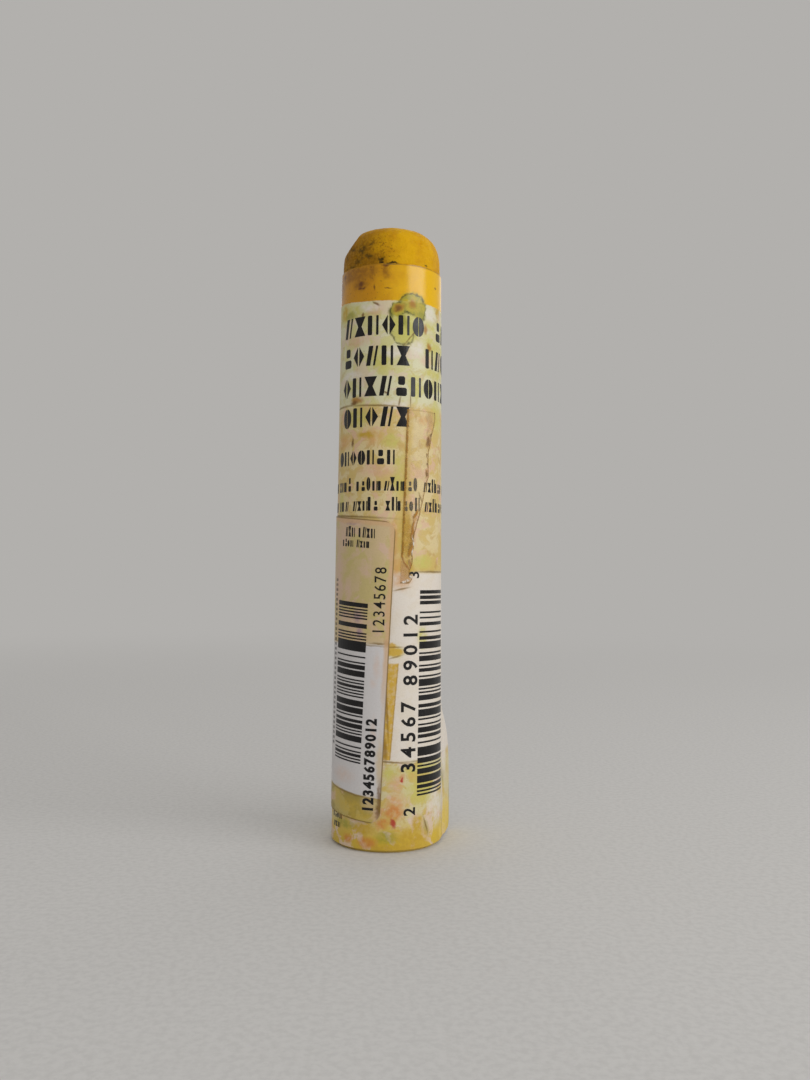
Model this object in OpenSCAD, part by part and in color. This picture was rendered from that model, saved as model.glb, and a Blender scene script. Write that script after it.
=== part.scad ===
// A stick of watercolour pigment in its paper wrap.
// The pigment is moulded as one round stick with a slight taper, a flat base and a full, rounded tip that
// use has rubbed down on one side. The wrap is one strip of paper rolled once round the stick and lapped on
// itself behind; its free corner has come unstuck near the base and stands away along a tangent. A small
// shop sticker and what is left of a torn strip of clear tape lie on the wrap.
//
// Millimetres. The base is at Z = 0 and the tip is up. Places round the stick are angles from the front,
// which is -Y, growing towards +X, or lengths along the girth counted the same way.

/* [Pigment stick] */
// Length from the flat base to the crown of the tip
stick_len = 78; // [60:0.5:110]
// Diameter at the base
base_d = 13.7; // [11:0.1:18]
// Diameter where the tip begins to round over
tip_d = 12.6; // [10:0.1:18]
// Height of the rounded tip
tip_h = 6.4; // [4:0.1:9]
// Fullness of the tip's round, from 2 for an ellipse to 5 for nearly square
tip_fullness = 3.6; // [2:0.1:5]
// Width and height of the bevel round the base
base_bevel = 0.3; // [0.1:0.05:0.6]

/* [Wear of the tip] */
// Where the rubbed flat faces, round the stick
rub_angle = -78; // [-180:1:180]
// Tilt of the rubbed flat from level
rub_tilt = 55; // [20:1:70]
// Depth rubbed away at the middle of that flat
rub_depth = 0.47; // [0.1:0.05:1.2]
// Depth worn off the crown
crown_depth = 0.1; // [0.05:0.05:0.6]
// Tilt of the worn crown
crown_tilt = 4; // [0:1:20]
// Radius of the largest pit
pit_r = 0.7; // [0.3:0.05:1]

/* [Paper wrap] */
// Thickness of the paper
paper_t = 0.12; // [0.08:0.01:0.25]
// Bare pigment left below the wrap
wrap_rise = 0.35; // [0.2:0.05:3]
// Height of the wrap
wrap_h = 72; // [50:0.5:76]
// Where the free edge of the wrap ends when it is stuck down
lap_angle = 131; // [110:1:170]
// Width of the lap, along the girth
lap_w = 3.5; // [2:0.1:6]
// Height up to which the free corner has come unstuck
lift_h = 21; // [8:0.5:40]
// Where the unstuck paper leaves the stick, at its foot
lift_angle = 79; // [60:1:100]
// Radius of the dog-eared corner
corner_r = 1.2; // [0.4:0.1:3]

/* [Shop sticker] */
// Width, along the girth
sticker_w = 12.7; // [9:0.1:20]
// Height, along the stick
sticker_h = 36.7; // [25:0.1:45]
// Height of its lower right corner above the base
sticker_z = 3.5; // [2:0.1:15]
// Place of its lower right corner, along the girth
sticker_s = -0.7; // [-3:0.1:0.4]
// Rise of its lines towards the left, in each unit of width
sticker_skew = 0.09; // [0:0.01:0.12]
// Lean of its sides towards the right, in each unit of height
sticker_lean = 0.044; // [0:0.002:0.048]
// Radius of its corners
sticker_r = 1.4; // [0.5:0.1:3]
// Thickness of the sticker
sticker_t = 0.1; // [0.05:0.01:0.2]

/* [Torn tape] */
// Height of the strip that is left
tape_h = 21.5; // [12:0.5:30]
// Width of the strip at its top
tape_w = 4.7; // [3:0.1:6]
// Height of its lower end above the base
tape_z = 32.7; // [20:0.5:36]
// Place of its cut edge at the lower end, along the girth
tape_s = 1.5; // [1.4:0.1:4]
// Lean of its cut edge towards the right, in each unit of height
tape_lean = 0.035; // [0:0.005:0.06]
// Thickness of the tape
tape_t = 0.06; // [0.04:0.01:0.15]

/* [Fits] */
// Gap between one layer and the next
layer_gap = 0.03; // [0.02:0.01:0.1]

/* [Hidden] */
$fn = 96;

// Height at which the tip begins
shoulder_z = stick_len - tip_h;
// Points along the tip's profile
tip_steps = 28;
// Angle between columns of the rolled sheets
sheet_angle = 4;
// Columns round a sheet's rounded corner
corner_steps = 4;
// Rows in the part of the wrap that lifts
lift_rows = 11;
// How sharply the unstuck edge turns out to the free edge
lift_power = 6;
// Angle over which the wrap climbs onto its own start
climb_angle = 8;
// Rows of a patch that is stuck on the wrap
patch_rows = 10;

// Pits: place round the stick, height as a share of the tip's height, radius as a share of the largest
pits = [
    [-88, 0.36, 1], [-11, 0.25, 0.6], [-11, 0.13, 0.45],
    [-46, 0.32, 0.55], [38, 0.62, 0.5], [160, 0.45, 0.8]
];
// How far outside the surface the middle of a pit's sphere lies, as a share of its radius
pit_out = 0.55;

// The torn edge: share of the strip's height, share of its width at the top
torn_edge = [
    [0, 0.24], [0.03, 0.34], [0.06, 0.22], [0.12, 0.32], [0.17, 0.30], [0.21, 0.34], [0.27, 0.33], [0.34, 0.41],
    [0.41, 0.50], [0.46, 0.55], [0.50, 0.60], [0.58, 0.68], [0.62, 0.75], [0.68, 0.73], [0.76, 0.72],
    [0.81, 0.80], [0.86, 0.84], [0.92, 0.95], [0.97, 1], [1, 0.98]
];

// ---- Places on the stick ----

// Radius of the bare stick at a height, on its straight taper
function stick_r(z) = base_d / 2 + (tip_d - base_d) / 2 * z / shoulder_z;

// Radius of the wrap's outside where it lies in one layer
function wrap_r(z) = stick_r(z) + layer_gap + paper_t;

// Radius by which lengths along the girth are turned into angles
girth_r = wrap_r(stick_len / 2);

// Angle that a length along the girth takes up
function turn(s) = s / girth_r * 180 / PI;

// A point from its angle round the stick, radius and height
function spot(angle, r, z) = [r * sin(angle), -r * cos(angle), z];

// ---- Sheets ----

// A closed sheet between an inner and an outer grid of points, both in rows of equal length.
// A row runs round the stick and the rows climb.
module sheet(inner, outer) {
    rows = len(inner);
    cols = len(inner[0]);
    count = rows * cols;
    function at(side, i, j) = side * count + i * cols + j;
    function split(a, b, c, d) = [[a, b, c], [a, c, d]];
    faces = concat(
        [for (i = [0 : rows - 2], j = [0 : cols - 2])
            each split(at(0, i, j), at(0, i, j + 1), at(0, i + 1, j + 1), at(0, i + 1, j))],
        [for (i = [0 : rows - 2], j = [0 : cols - 2])
            each split(at(1, i, j), at(1, i + 1, j), at(1, i + 1, j + 1), at(1, i, j + 1))],
        [for (j = [0 : cols - 2])
            each split(at(0, 0, j), at(1, 0, j), at(1, 0, j + 1), at(0, 0, j + 1))],
        [for (j = [0 : cols - 2])
            each split(at(0, rows - 1, j), at(0, rows - 1, j + 1), at(1, rows - 1, j + 1), at(1, rows - 1, j))],
        [for (i = [0 : rows - 2])
            each split(at(0, i, 0), at(0, i + 1, 0), at(1, i + 1, 0), at(1, i, 0))],
        [for (i = [0 : rows - 2])
            each split(at(0, i, cols - 1), at(1, i, cols - 1), at(1, i + 1, cols - 1), at(0, i + 1, cols - 1))]
    );
    polyhedron(points = concat([for (row = inner) each row], [for (row = outer) each row]), faces = faces);
}

// How far in from an edge, and how far up from the end, the points of a rounded corner lie
function corner_in(r, k) = r * (1 - cos(90 * k / corner_steps));
function corner_up(r, k) = r * (1 - sin(90 * k / corner_steps));

// ---- Pigment stick ----

// The superellipse of the tip, from its shoulder to its crown
function tip_point(angle) = [
    tip_d / 2 * pow(cos(angle), 2 / tip_fullness),
    shoulder_z + tip_h * pow(sin(angle), 2 / tip_fullness)
];

// Distance from the middle of the shoulder to a plane that touches the tip and tilts by an angle
function tip_reach(tilt) =
    let (power = tip_fullness / (tip_fullness - 1))
    pow(pow(tip_d / 2 * sin(tilt), power) + pow(tip_h * cos(tilt), power), 1 / power);

// Radius of the tip at a height above its shoulder
function tip_r(h) = tip_d / 2 * pow(1 - pow(h / tip_h, tip_fullness), 1 / tip_fullness);

module stick_blank() {
    rotate_extrude() polygon(concat(
        [[0, 0], [base_d / 2 - base_bevel, 0], [stick_r(base_bevel), base_bevel]],
        [for (k = [0 : tip_steps - 1]) tip_point(90 * k / tip_steps)],
        [[0, stick_len]]
    ));
}

// What is rubbed away above a plane that faces one side and tilts down to it
module rubbed(facing, tilt, depth) {
    translate([0, 0, shoulder_z])
        rotate([0, 0, facing - 90])
            rotate([0, tilt, 0])
                translate([-base_d, -base_d, tip_reach(tilt) - depth])
                    cube([2 * base_d, 2 * base_d, tip_h]);
}

module pit(angle, share, r) {
    h = share * tip_h;
    translate(spot(angle, tip_r(h) + pit_out * r, shoulder_z + h)) sphere(r = r);
}

module pigment_stick() {
    color("goldenrod") difference() {
        stick_blank();
        rubbed(rub_angle, rub_tilt, rub_depth);
        rubbed(rub_angle, crown_tilt, crown_depth);
        for (p = pits) pit(p[0], p[1], p[2] * pit_r);
    }
}

// ---- Paper wrap ----

// Where the wrap's start lies, under the lap
lap_start = lap_angle - turn(lap_w);

// Gap and paper under the wrap's inside, which grows where the wrap climbs onto its own start
function wrap_lift(angle) =
    let (share = min(1, max(0, (angle - lap_start + climb_angle) / climb_angle)))
    layer_gap + share * share * (3 - 2 * share) * (paper_t + layer_gap);

// Where the paper leaves the stick at a height: at the foot it has come away furthest
function leaves_at(z) = lift_angle + (lap_angle - lift_angle) * pow(min(1, max(0, z / lift_h)), lift_power);

// A point of the wrap at an angle along the strip. Past the place where the paper leaves the stick it runs
// on straight, so its angle round the stick lags behind and its radius grows.
function wrap_point(angle, z, out) =
    let (
        from = leaves_at(z),
        past = max(0, angle - from),
        round_to = min(angle, from) + atan(past * PI / 180)
    )
    spot(round_to, (stick_r(z) + wrap_lift(round_to)) / cos(round_to - min(round_to, from)) + out, z);

// Columns of the strip: its angle, and how far its ends draw in for the corner at the free edge
wrap_turns = ceil((360 + turn(lap_w - corner_r)) / sheet_angle);
wrap_cols = concat(
    [for (k = [0 : wrap_turns - 1])
        [lap_start - 360 + k * (360 + turn(lap_w - corner_r)) / wrap_turns, 0]],
    [for (k = [0 : corner_steps])
        [lap_angle - turn(corner_in(corner_r, corner_steps - k)), corner_up(corner_r, corner_steps - k)]]
);
// Heights of the rows above the lower edge
wrap_rows = concat([for (k = [0 : lift_rows]) lift_h * k / lift_rows], [wrap_h]);

module paper_wrap() {
    color("ivory") sheet(
        [for (h = wrap_rows)
            [for (c = wrap_cols) wrap_point(c[0], wrap_rise + c[1] + h * (wrap_h - c[1]) / wrap_h, 0)]],
        [for (h = wrap_rows)
            [for (c = wrap_cols) wrap_point(c[0], wrap_rise + c[1] + h * (wrap_h - c[1]) / wrap_h, paper_t)]]
    );
}

// ---- What is stuck on the wrap ----

// A point on the wrap's outside, with a gap and a thickness outwards
function on_wrap(s, z, out) = spot(turn(s), wrap_r(z) + layer_gap + out, z);

// Columns of the sticker from its left side: distance from the right side, and how far the ends draw in
sticker_mid = ceil(turn(sticker_w - 2 * sticker_r) / sheet_angle);
sticker_cols = concat(
    [for (k = [0 : corner_steps]) [sticker_w - corner_in(sticker_r, k), corner_up(sticker_r, k)]],
    [for (k = [1 : sticker_mid - 1])
        [sticker_w - sticker_r - k * (sticker_w - 2 * sticker_r) / sticker_mid, 0]],
    [for (k = [0 : corner_steps])
        [corner_in(sticker_r, corner_steps - k), corner_up(sticker_r, corner_steps - k)]]
);

function sticker_point(col, share, out) =
    let (up = col[1] + share * (sticker_h - 2 * col[1]))
    on_wrap(sticker_s - col[0] + sticker_lean * up, sticker_z + up + sticker_skew * col[0], out);

module stock_sticker() {
    color("whitesmoke") sheet(
        [for (k = [0 : patch_rows]) [for (c = sticker_cols) sticker_point(c, k / patch_rows, 0)]],
        [for (k = [0 : patch_rows]) [for (c = sticker_cols) sticker_point(c, k / patch_rows, sticker_t)]]
    );
}

// Columns across the strip of tape
tape_cols = 8;

function tape_point(share, across, out) =
    let (up = share * tape_h)
    on_wrap(tape_s + tape_lean * up + across * tape_w * lookup(share, torn_edge), tape_z + up, out);

module torn_tape() {
    color("wheat") sheet(
        [for (e = torn_edge) [for (k = [0 : tape_cols]) tape_point(e[0], k / tape_cols, 0)]],
        [for (e = torn_edge) [for (k = [0 : tape_cols]) tape_point(e[0], k / tape_cols, tape_t)]]
    );
}

pigment_stick();
paper_wrap();
stock_sticker();
torn_tape();
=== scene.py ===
"""Looks of a watercolour stick in its stained paper wrap, built round the fixed frame of its solids.

Lengths in the panel are metres. Places on the wrap are millimetres on the unrolled paper: `around` runs from
the front towards +X and `up` runs from the flat base to the tip.
"""

import math
from types import SimpleNamespace

import bmesh
import bpy
import numpy as np
from bpy.props import FloatProperty, FloatVectorProperty, PointerProperty
from mathutils import Matrix, Vector, noise


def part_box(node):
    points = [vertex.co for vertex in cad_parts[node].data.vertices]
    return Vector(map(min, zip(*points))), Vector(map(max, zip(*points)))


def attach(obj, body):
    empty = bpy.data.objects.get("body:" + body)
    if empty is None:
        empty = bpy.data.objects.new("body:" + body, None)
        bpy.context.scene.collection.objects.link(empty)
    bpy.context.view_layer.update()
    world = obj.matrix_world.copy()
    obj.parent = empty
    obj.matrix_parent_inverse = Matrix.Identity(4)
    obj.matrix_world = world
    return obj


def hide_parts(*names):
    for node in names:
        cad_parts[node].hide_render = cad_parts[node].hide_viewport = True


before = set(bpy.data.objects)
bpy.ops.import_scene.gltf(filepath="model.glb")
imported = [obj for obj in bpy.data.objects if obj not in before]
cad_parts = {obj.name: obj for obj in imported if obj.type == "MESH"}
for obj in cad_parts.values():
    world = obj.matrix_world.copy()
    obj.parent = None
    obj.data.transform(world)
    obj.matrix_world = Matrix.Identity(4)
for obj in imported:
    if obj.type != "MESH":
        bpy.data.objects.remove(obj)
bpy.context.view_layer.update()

bl_info = {
    "name": "Watercolour stick",
    "version": (1, 0, 0),
    "blender": (4, 5, 0),
    "location": "3D View > Sidebar > Stick",
    "description": "Builds a used watercolour stick with its stained wrap, shop sticker and torn tape",
    "category": "Add Mesh",
}

MM = 0.001
BODY = "root"
STICK_LOW, STICK_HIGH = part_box("pigment_stick")


# ---- Values a user may set ----


def linear(channel):
    """One 0-255 screen channel as linear light."""
    part = channel / 255
    if part <= 0.04045:
        return part / 12.92
    return ((part + 0.055) / 1.055) ** 2.4


def tone(red, green, blue):
    """A 0-255 screen colour as linear light."""
    return (linear(red), linear(green), linear(blue))


def length(name, description, size):
    """A length property whose default is given in millimetres."""
    return FloatProperty(name=name, description=description, default=size * MM, unit="LENGTH", precision=5)


def angle(name, description, degrees):
    """An angle property whose default is given in degrees."""
    return FloatProperty(name=name, description=description, default=math.radians(degrees), subtype="ANGLE")


def share(name, description, default):
    """A plain number."""
    return FloatProperty(name=name, description=description, default=default, precision=3)


def colour(name, description, red, green, blue):
    """A colour property whose default is given as a 0-255 screen colour."""
    return FloatVectorProperty(
        name=name, description=description, default=tone(red, green, blue), subtype="COLOR", min=0, max=1
    )


class StickSettings(bpy.types.PropertyGroup):
    long: length("Length", "Length from the flat base to the crown", (STICK_HIGH.z - STICK_LOW.z) / MM)
    base_across: length("Base diameter", "Diameter at the base", 13.7)
    tip_across: length("Tip diameter", "Diameter where the tip begins to round over", 12.6)
    tip_tall: length("Tip height", "Height of the rounded tip", 6.4)
    tip_full: share("Tip fullness", "2 is an ellipse, 5 is nearly square", 3.6)
    bevel: length("Base bevel", "Bevel round the base", 0.3)
    rub_facing: angle("Rub facing", "Where the rubbed flat faces, from the front", -78)
    rub_tilt: angle("Rub tilt", "Tilt of the rubbed flat from level", 55)
    rub_deep: length("Rub depth", "Depth rubbed away", 0.47)
    crown_tilt: angle("Crown tilt", "Tilt of the worn crown", 4)
    crown_deep: length("Crown depth", "Depth worn off the crown", 0.1)
    pit_radius: length("Pit radius", "Radius of the largest pit", 0.7)
    grain_deep: length("Grain depth", "Depth of the pressed pigment's grain", 0.05)
    pigment: colour("Pigment", "Pressed pigment", 227, 173, 2)
    pigment_deep: colour("Deep pigment", "Pigment where it is denser", 206, 146, 2)
    grime: colour("Grime", "Brown grime on the tip", 142, 97, 8)
    grime_dark: colour("Dark grime", "Olive grime and the floors of the pits", 74, 56, 10)


class WrapSettings(bpy.types.PropertyGroup):
    thick: length("Thickness", "Thickness of the paper", 0.12)
    rise: length("Rise", "Bare pigment left below the wrap", 0.35)
    tall: length("Height", "Height of the wrap", 72)
    lap_at: angle("Lap edge", "Where the free edge ends when it is stuck down", 131)
    lap_wide: length("Lap width", "Width of the lap along the girth", 3.5)
    lift_tall: length("Lift height", "Height up to which the free corner has come unstuck", 21)
    lift_at: angle("Lift start", "Where the unstuck paper leaves the stick at its foot", 79)
    corner: length("Corner radius", "Radius of the dog-eared corner", 1.2)
    gap: length("Layer gap", "Gap between one layer and the next", 0.03)
    cockle: length("Cockle", "Height of the ripples that damp left in the paper", 0.05)
    band_low: length("Band edge", "Height of the printed band's lower edge", 67.65)
    band: colour("Band", "Printed band at the top", 236, 184, 0)
    band_held: colour("Held band", "The side of the band that fingers have darkened", 202, 140, 0)
    paper: colour("Paper", "Paper that stayed dry", 228, 219, 207)


class StickerSettings(bpy.types.PropertyGroup):
    wide: length("Width", "Width along the girth", 12.7)
    tall: length("Height", "Height along the stick", 36.7)
    low: length("Corner height", "Height of its lower right corner", 3.5)
    right: length("Corner place", "Place of its lower right corner along the girth", -0.7)
    skew: share("Skew", "Rise of its lines towards the left, in each unit of width", 0.09)
    lean: share("Lean", "Lean of its sides towards the right, in each unit of height", 0.044)
    corner: length("Corner radius", "Radius of its corners", 1.4)
    thick: length("Thickness", "Thickness of the sticker", 0.1)
    clean: colour("Clean", "The part that stayed dry", 213, 209, 208)


class TapeSettings(bpy.types.PropertyGroup):
    tall: length("Height", "Height of the strip that is left", 21.5)
    wide: length("Width", "Width of the strip at its top", 4.7)
    low: length("Lower end", "Height of its lower end", 32.7)
    left: length("Cut edge", "Place of its cut edge at the lower end", 1.5)
    lean: share("Lean", "Lean of its cut edge, in each unit of height", 0.035)
    thick: length("Thickness", "Thickness of the tape", 0.06)
    film: colour("Film", "Aged film and the gum under it", 228, 203, 156)
    gum: colour("Gum", "Gum that has crept out along the edges", 172, 126, 40)


class PrintSettings(bpy.types.PropertyGroup):
    ink_gap: length("Ink gap", "Gap between the paper and the ink", 0.006)
    ink_thick: length("Ink thickness", "Thickness of the ink", 0.014)
    ink: colour("Ink", "Black ink", 15, 13, 13)
    ink_worn: colour("Worn ink", "Black ink that has been rubbed", 46, 42, 38)


class StageSettings(bpy.types.PropertyGroup):
    floor_radius: length("Floor radius", "Radius of the floor", 1500)
    fade_from: length("Fade start", "Distance at which the floor begins to fade out", 120)
    fade_to: length("Fade end", "Distance at which the floor has faded out", 420)
    floor: colour("Floor", "Pale floor", 216, 214, 211)
    backdrop: colour("Backdrop", "Pale backdrop", 178, 176, 173)


class StickPanelSettings(bpy.types.PropertyGroup):
    stick: PointerProperty(type=StickSettings)
    wrap: PointerProperty(type=WrapSettings)
    sticker: PointerProperty(type=StickerSettings)
    tape: PointerProperty(type=TapeSettings)
    print: PointerProperty(type=PrintSettings)
    stage: PointerProperty(type=StageSettings)


def plain(group):
    """A group's values, with its lengths in millimetres."""
    values = {}
    for name, prop in group.bl_rna.properties.items():
        if name in ("rna_type", "name"):
            continue
        value = getattr(group, name)
        if prop.type == "FLOAT" and prop.unit == "LENGTH":
            value = value / MM
        elif prop.type == "FLOAT" and prop.is_array:
            value = tuple(value)
        values[name] = value
    return SimpleNamespace(**values)


# ---- Places on the stick, in millimetres ----

# Ripples of the paper: waves round the girth, radians for each millimetre up, phase, share
RIPPLES = [(5, 0.21, 0.4, 1.0), (9, -0.34, 2.1, 0.8), (13, 0.52, 4.0, 0.55), (3, 0.66, 5.2, 0.5)]
# How late the paper's lift grows towards the foot, and the turn in which it climbs onto its own start
LIFT_POWER = 6
CLIMB = math.radians(8)
# Edges sharper than these stay crisp
SHEET_CREASE = math.radians(50)
TIP_CREASE = math.radians(40)


class Form:
    """Where every layer lies, worked out from the settings."""

    def __init__(self, settings):
        self.stick = plain(settings.stick)
        self.wrap = plain(settings.wrap)
        self.sticker = plain(settings.sticker)
        self.tape = plain(settings.tape)
        self.print = plain(settings.print)
        self.shoulder = self.stick.long - self.stick.tip_tall
        self.girth_radius = self.wrap_radius(self.stick.long / 2)
        self.lap_start = self.wrap.lap_at - self.turn(self.wrap.lap_wide)

    def stick_radius(self, up):
        """Radius of the bare stick on its straight taper."""
        base = self.stick.base_across / 2
        return base + (self.stick.tip_across / 2 - base) * up / self.shoulder

    def wrap_radius(self, up):
        """Radius of the wrap's outside where it lies in one layer."""
        return self.stick_radius(up) + self.wrap.gap + self.wrap.thick

    def turn(self, around):
        """Angle that a length along the girth takes up."""
        return around / self.girth_radius

    def cockle(self, turned, up):
        """How far damp has rippled the paper outwards."""
        total, height = 0, 0
        for waves, rise, phase, part in RIPPLES:
            total = total + part
            height = height + part * np.sin(waves * turned + rise * up + phase)
        return self.wrap.cockle * (0.5 + 0.5 * height / total)

    def spot(self, turned, radius, up):
        """Points from their angles round the stick, radii and heights."""
        return np.stack([radius * np.sin(turned), -radius * np.cos(turned), up], axis=-1)

    def on_wrap(self, around, up, out):
        """Points a distance out from the wrap's outside."""
        around, up = np.broadcast_arrays(np.asarray(around, float), np.asarray(up, float))
        turned = self.turn(around)
        lap = self.layer_rise(turned) - self.wrap.gap
        return self.spot(turned, self.wrap_radius(up) + lap + self.cockle(turned, up) + out, up)

    def layer_rise(self, turned):
        """Gap and paper under the wrap's inside, which grows where the wrap climbs onto its own start."""
        climbed = np.clip((turned - self.lap_start + CLIMB) / CLIMB, 0, 1)
        climbed = climbed * climbed * (3 - 2 * climbed)
        return self.wrap.gap + climbed * (self.wrap.thick + self.wrap.gap)

    def leaves_at(self, up):
        """Angle at which the paper leaves the stick at a height."""
        wrap = self.wrap
        return wrap.lift_at + (wrap.lap_at - wrap.lift_at) * np.clip(up / wrap.lift_tall, 0, 1) ** LIFT_POWER

    def wrap_spot(self, turned, up, out):
        """Points of the wrap. Past the place where it leaves the stick it runs on straight."""
        start = self.leaves_at(up)
        past = np.maximum(0, turned - start)
        round_to = np.minimum(turned, start) + np.arctan(past)
        straight = np.cos(round_to - np.minimum(round_to, start))
        radius = (self.stick_radius(up) + self.layer_rise(round_to)) / straight
        return self.spot(round_to, radius + self.cockle(turned, up) + out, up)


# ---- Meshes ----


def new_piece(name, points, faces, material, replaced=()):
    """Makes a piece from points in millimetres, seats it in the frame and gives it its finish."""
    mesh = bpy.data.meshes.new(name)
    mesh.from_pydata((np.asarray(points) * MM).tolist(), [], faces)
    mesh.validate()
    mesh.materials.append(material)
    mesh.shade_smooth()
    made = bpy.data.objects.new(name, mesh)
    bpy.context.scene.collection.objects.link(made)
    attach(made, BODY)
    if replaced:
        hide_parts(*replaced)
    return made


def add_values(piece, **values):
    """Stores a number for each point, which the materials read."""
    for name, numbers in values.items():
        attribute = piece.data.attributes.new(name, "FLOAT", "POINT")
        attribute.data.foreach_set("value", np.asarray(numbers, np.float32).ravel())


def add_around(piece, around, girth):
    """Stores places along the girth for each face's corners, so that none jumps where the girth closes."""
    points = np.empty(len(piece.data.loops), np.int32)
    piece.data.loops.foreach_get("vertex_index", points)
    corners = around[points]
    for polygon in piece.data.polygons:
        own = slice(polygon.loop_start, polygon.loop_start + polygon.loop_total)
        if np.ptp(corners[own]) > girth / 2:
            corners[own] += girth * (corners[own] < 0)
    attribute = piece.data.attributes.new("around", "FLOAT", "CORNER")
    attribute.data.foreach_set("value", corners.astype(np.float32))


def sheet_faces(rows, columns):
    """Faces of a closed sheet whose outer grid of points comes first and its inner grid second."""
    count = rows * columns
    faces = []
    for i in range(rows - 1):
        for j in range(columns - 1):
            a = i * columns + j
            b = a + 1
            c = b + columns
            d = a + columns
            faces.append((a, b, c, d))
            faces.append((a + count, d + count, c + count, b + count))
    ring = list(range(columns))
    ring += [i * columns + columns - 1 for i in range(1, rows)]
    ring += [(rows - 1) * columns + j for j in range(columns - 2, -1, -1)]
    ring += [i * columns for i in range(rows - 2, 0, -1)]
    for here, there in zip(ring, ring[1:] + ring[:1]):
        faces.append((here + count, there + count, there, here))
    return faces


def sheet_piece(name, outer, inner, around, up, material, replaced):
    """A closed sheet between an outer and an inner grid of points."""
    rows, columns = outer.shape[:2]
    points = np.concatenate([outer.reshape(-1, 3), inner.reshape(-1, 3)])
    piece = new_piece(name, points, sheet_faces(rows, columns), material, replaced)
    outside = np.concatenate([np.ones(rows * columns), np.zeros(rows * columns)])
    add_values(piece, around=np.tile(around.ravel(), 2), up=np.tile(up.ravel(), 2), outside=outside)
    sharpen_edges(piece, SHEET_CREASE)
    return piece


def sharpen_edges(piece, limit):
    """Keeps edges sharper than a limit crisp under smooth shading."""
    mesh = bmesh.new()
    mesh.from_mesh(piece.data)
    for edge in mesh.edges:
        edge.smooth = edge.calc_face_angle(0) < limit
    mesh.to_mesh(piece.data)
    mesh.free()


# ---- Pigment stick ----

TIP_COLUMNS = 240
TIP_STEP = 0.13
TIP_SAMPLES = 4000
# Rings of the flat base, as shares of its radius, and the number of rings along the straight taper
BASE_RINGS = (0.35, 0.7, 0.95, 1.0)
SIDE_RINGS = 25
# Pits: degrees round the stick, height as a share of the tip's height, radius as a share of the largest
PITS = [
    (-88, 0.36, 1.0), (-11, 0.25, 0.6), (-11, 0.13, 0.45), (-46, 0.32, 0.55), (38, 0.62, 0.5),
    (160, 0.45, 0.8),
]
PIT_OUT = 0.55
# Softness of the edge that rubbing leaves
RUB_SOFT = 0.05
# Wear runs out from a point this far below the shoulder, and starts this far below the shoulder
WEAR_CENTRE = 1.5
WEAR_START = 0.6
# Grain of the pressed pigment: its share, size, octaves and shift, and how far it is sunk
GRAINS = [(0.6, 1.3, 4, 0), (0.4, 0.35, 3, 40)]
GRAIN_SUNK = 0.6
GRAIN_FALL = 0.9


def tip_profile(form):
    """Radius and height of points along the tip, evenly spaced from its shoulder to its crown."""
    stick = form.stick
    swing = np.linspace(0, math.pi / 2, TIP_SAMPLES)
    radius = stick.tip_across / 2 * np.cos(swing) ** (2 / stick.tip_full)
    rise = stick.tip_tall * np.sin(swing) ** (2 / stick.tip_full)
    run = np.concatenate([[0], np.cumsum(np.hypot(np.diff(radius), np.diff(rise)))])
    even = np.linspace(0, run[-1], round(run[-1] / TIP_STEP))
    return np.interp(even, run, radius), form.shoulder + np.interp(even, run, rise)


def facing_way(facing, tilt):
    """Direction that tilts from straight up towards one side."""
    return np.array([math.sin(facing) * math.sin(tilt), -math.cos(facing) * math.sin(tilt), math.cos(tilt)])


def rub_flat(points, form, tilt, deep):
    """Presses points that stand proud of a tilted plane back onto it."""
    stick = form.stick
    power = stick.tip_full / (stick.tip_full - 1)
    wide = (stick.tip_across / 2 * math.sin(tilt)) ** power
    reach = (wide + (stick.tip_tall * math.cos(tilt)) ** power) ** (1 / power)
    way = facing_way(stick.rub_facing, tilt)
    proud = (points - np.array([0, 0, form.shoulder])) @ way - (reach - deep)
    pressed = RUB_SOFT * np.logaddexp(0, proud / RUB_SOFT)
    return points - pressed[:, None] * way


def press_pit(points, outward, form, degrees, rise_share, radius):
    """Hollows a round pit into the tip."""
    stick = form.stick
    rise = rise_share * stick.tip_tall
    across = stick.tip_across / 2 * (1 - rise_share**stick.tip_full) ** (1 / stick.tip_full)
    middle = form.spot(math.radians(degrees), across + PIT_OUT * radius, form.shoulder + rise)
    offset = points - middle
    along = np.sum(offset * outward, axis=1)
    under = along**2 - np.sum(offset**2, axis=1) + radius**2
    depth = np.where(under > 0, along + np.sqrt(np.maximum(under, 0)), 0)
    return points - np.maximum(depth, 0)[:, None] * outward


def grain(points, size, octaves):
    """Rough noise from -1 to 1 at each point, for features of about a size."""
    return np.array([noise.fractal(Vector(p) / size, GRAIN_FALL, 2.0, octaves) for p in points])


def worn_tip(points, form):
    """Points of the stick with its tip rubbed, pitted and grained."""
    stick = form.stick
    outward = points - np.array([0, 0, form.shoulder - WEAR_CENTRE])
    outward /= np.linalg.norm(outward, axis=1)[:, None]
    on_tip = points[:, 2] > form.shoulder - WEAR_START
    tip, out = points[on_tip], outward[on_tip]
    eased = np.clip((tip[:, 2] - form.shoulder + WEAR_START) / (2 * WEAR_START), 0, 1)
    tip = rub_flat(tip, form, stick.rub_tilt, stick.rub_deep)
    tip = rub_flat(tip, form, stick.crown_tilt, stick.crown_deep)
    for degrees, rise_share, size in PITS:
        tip = press_pit(tip, out, form, degrees, rise_share, size * stick.pit_radius)
    rough = sum(part * grain(tip + shift, size, octaves) for part, size, octaves, shift in GRAINS)
    points[on_tip] = tip + (stick.grain_deep * (rough - GRAIN_SUNK) * eased)[:, None] * out
    return points


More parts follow.
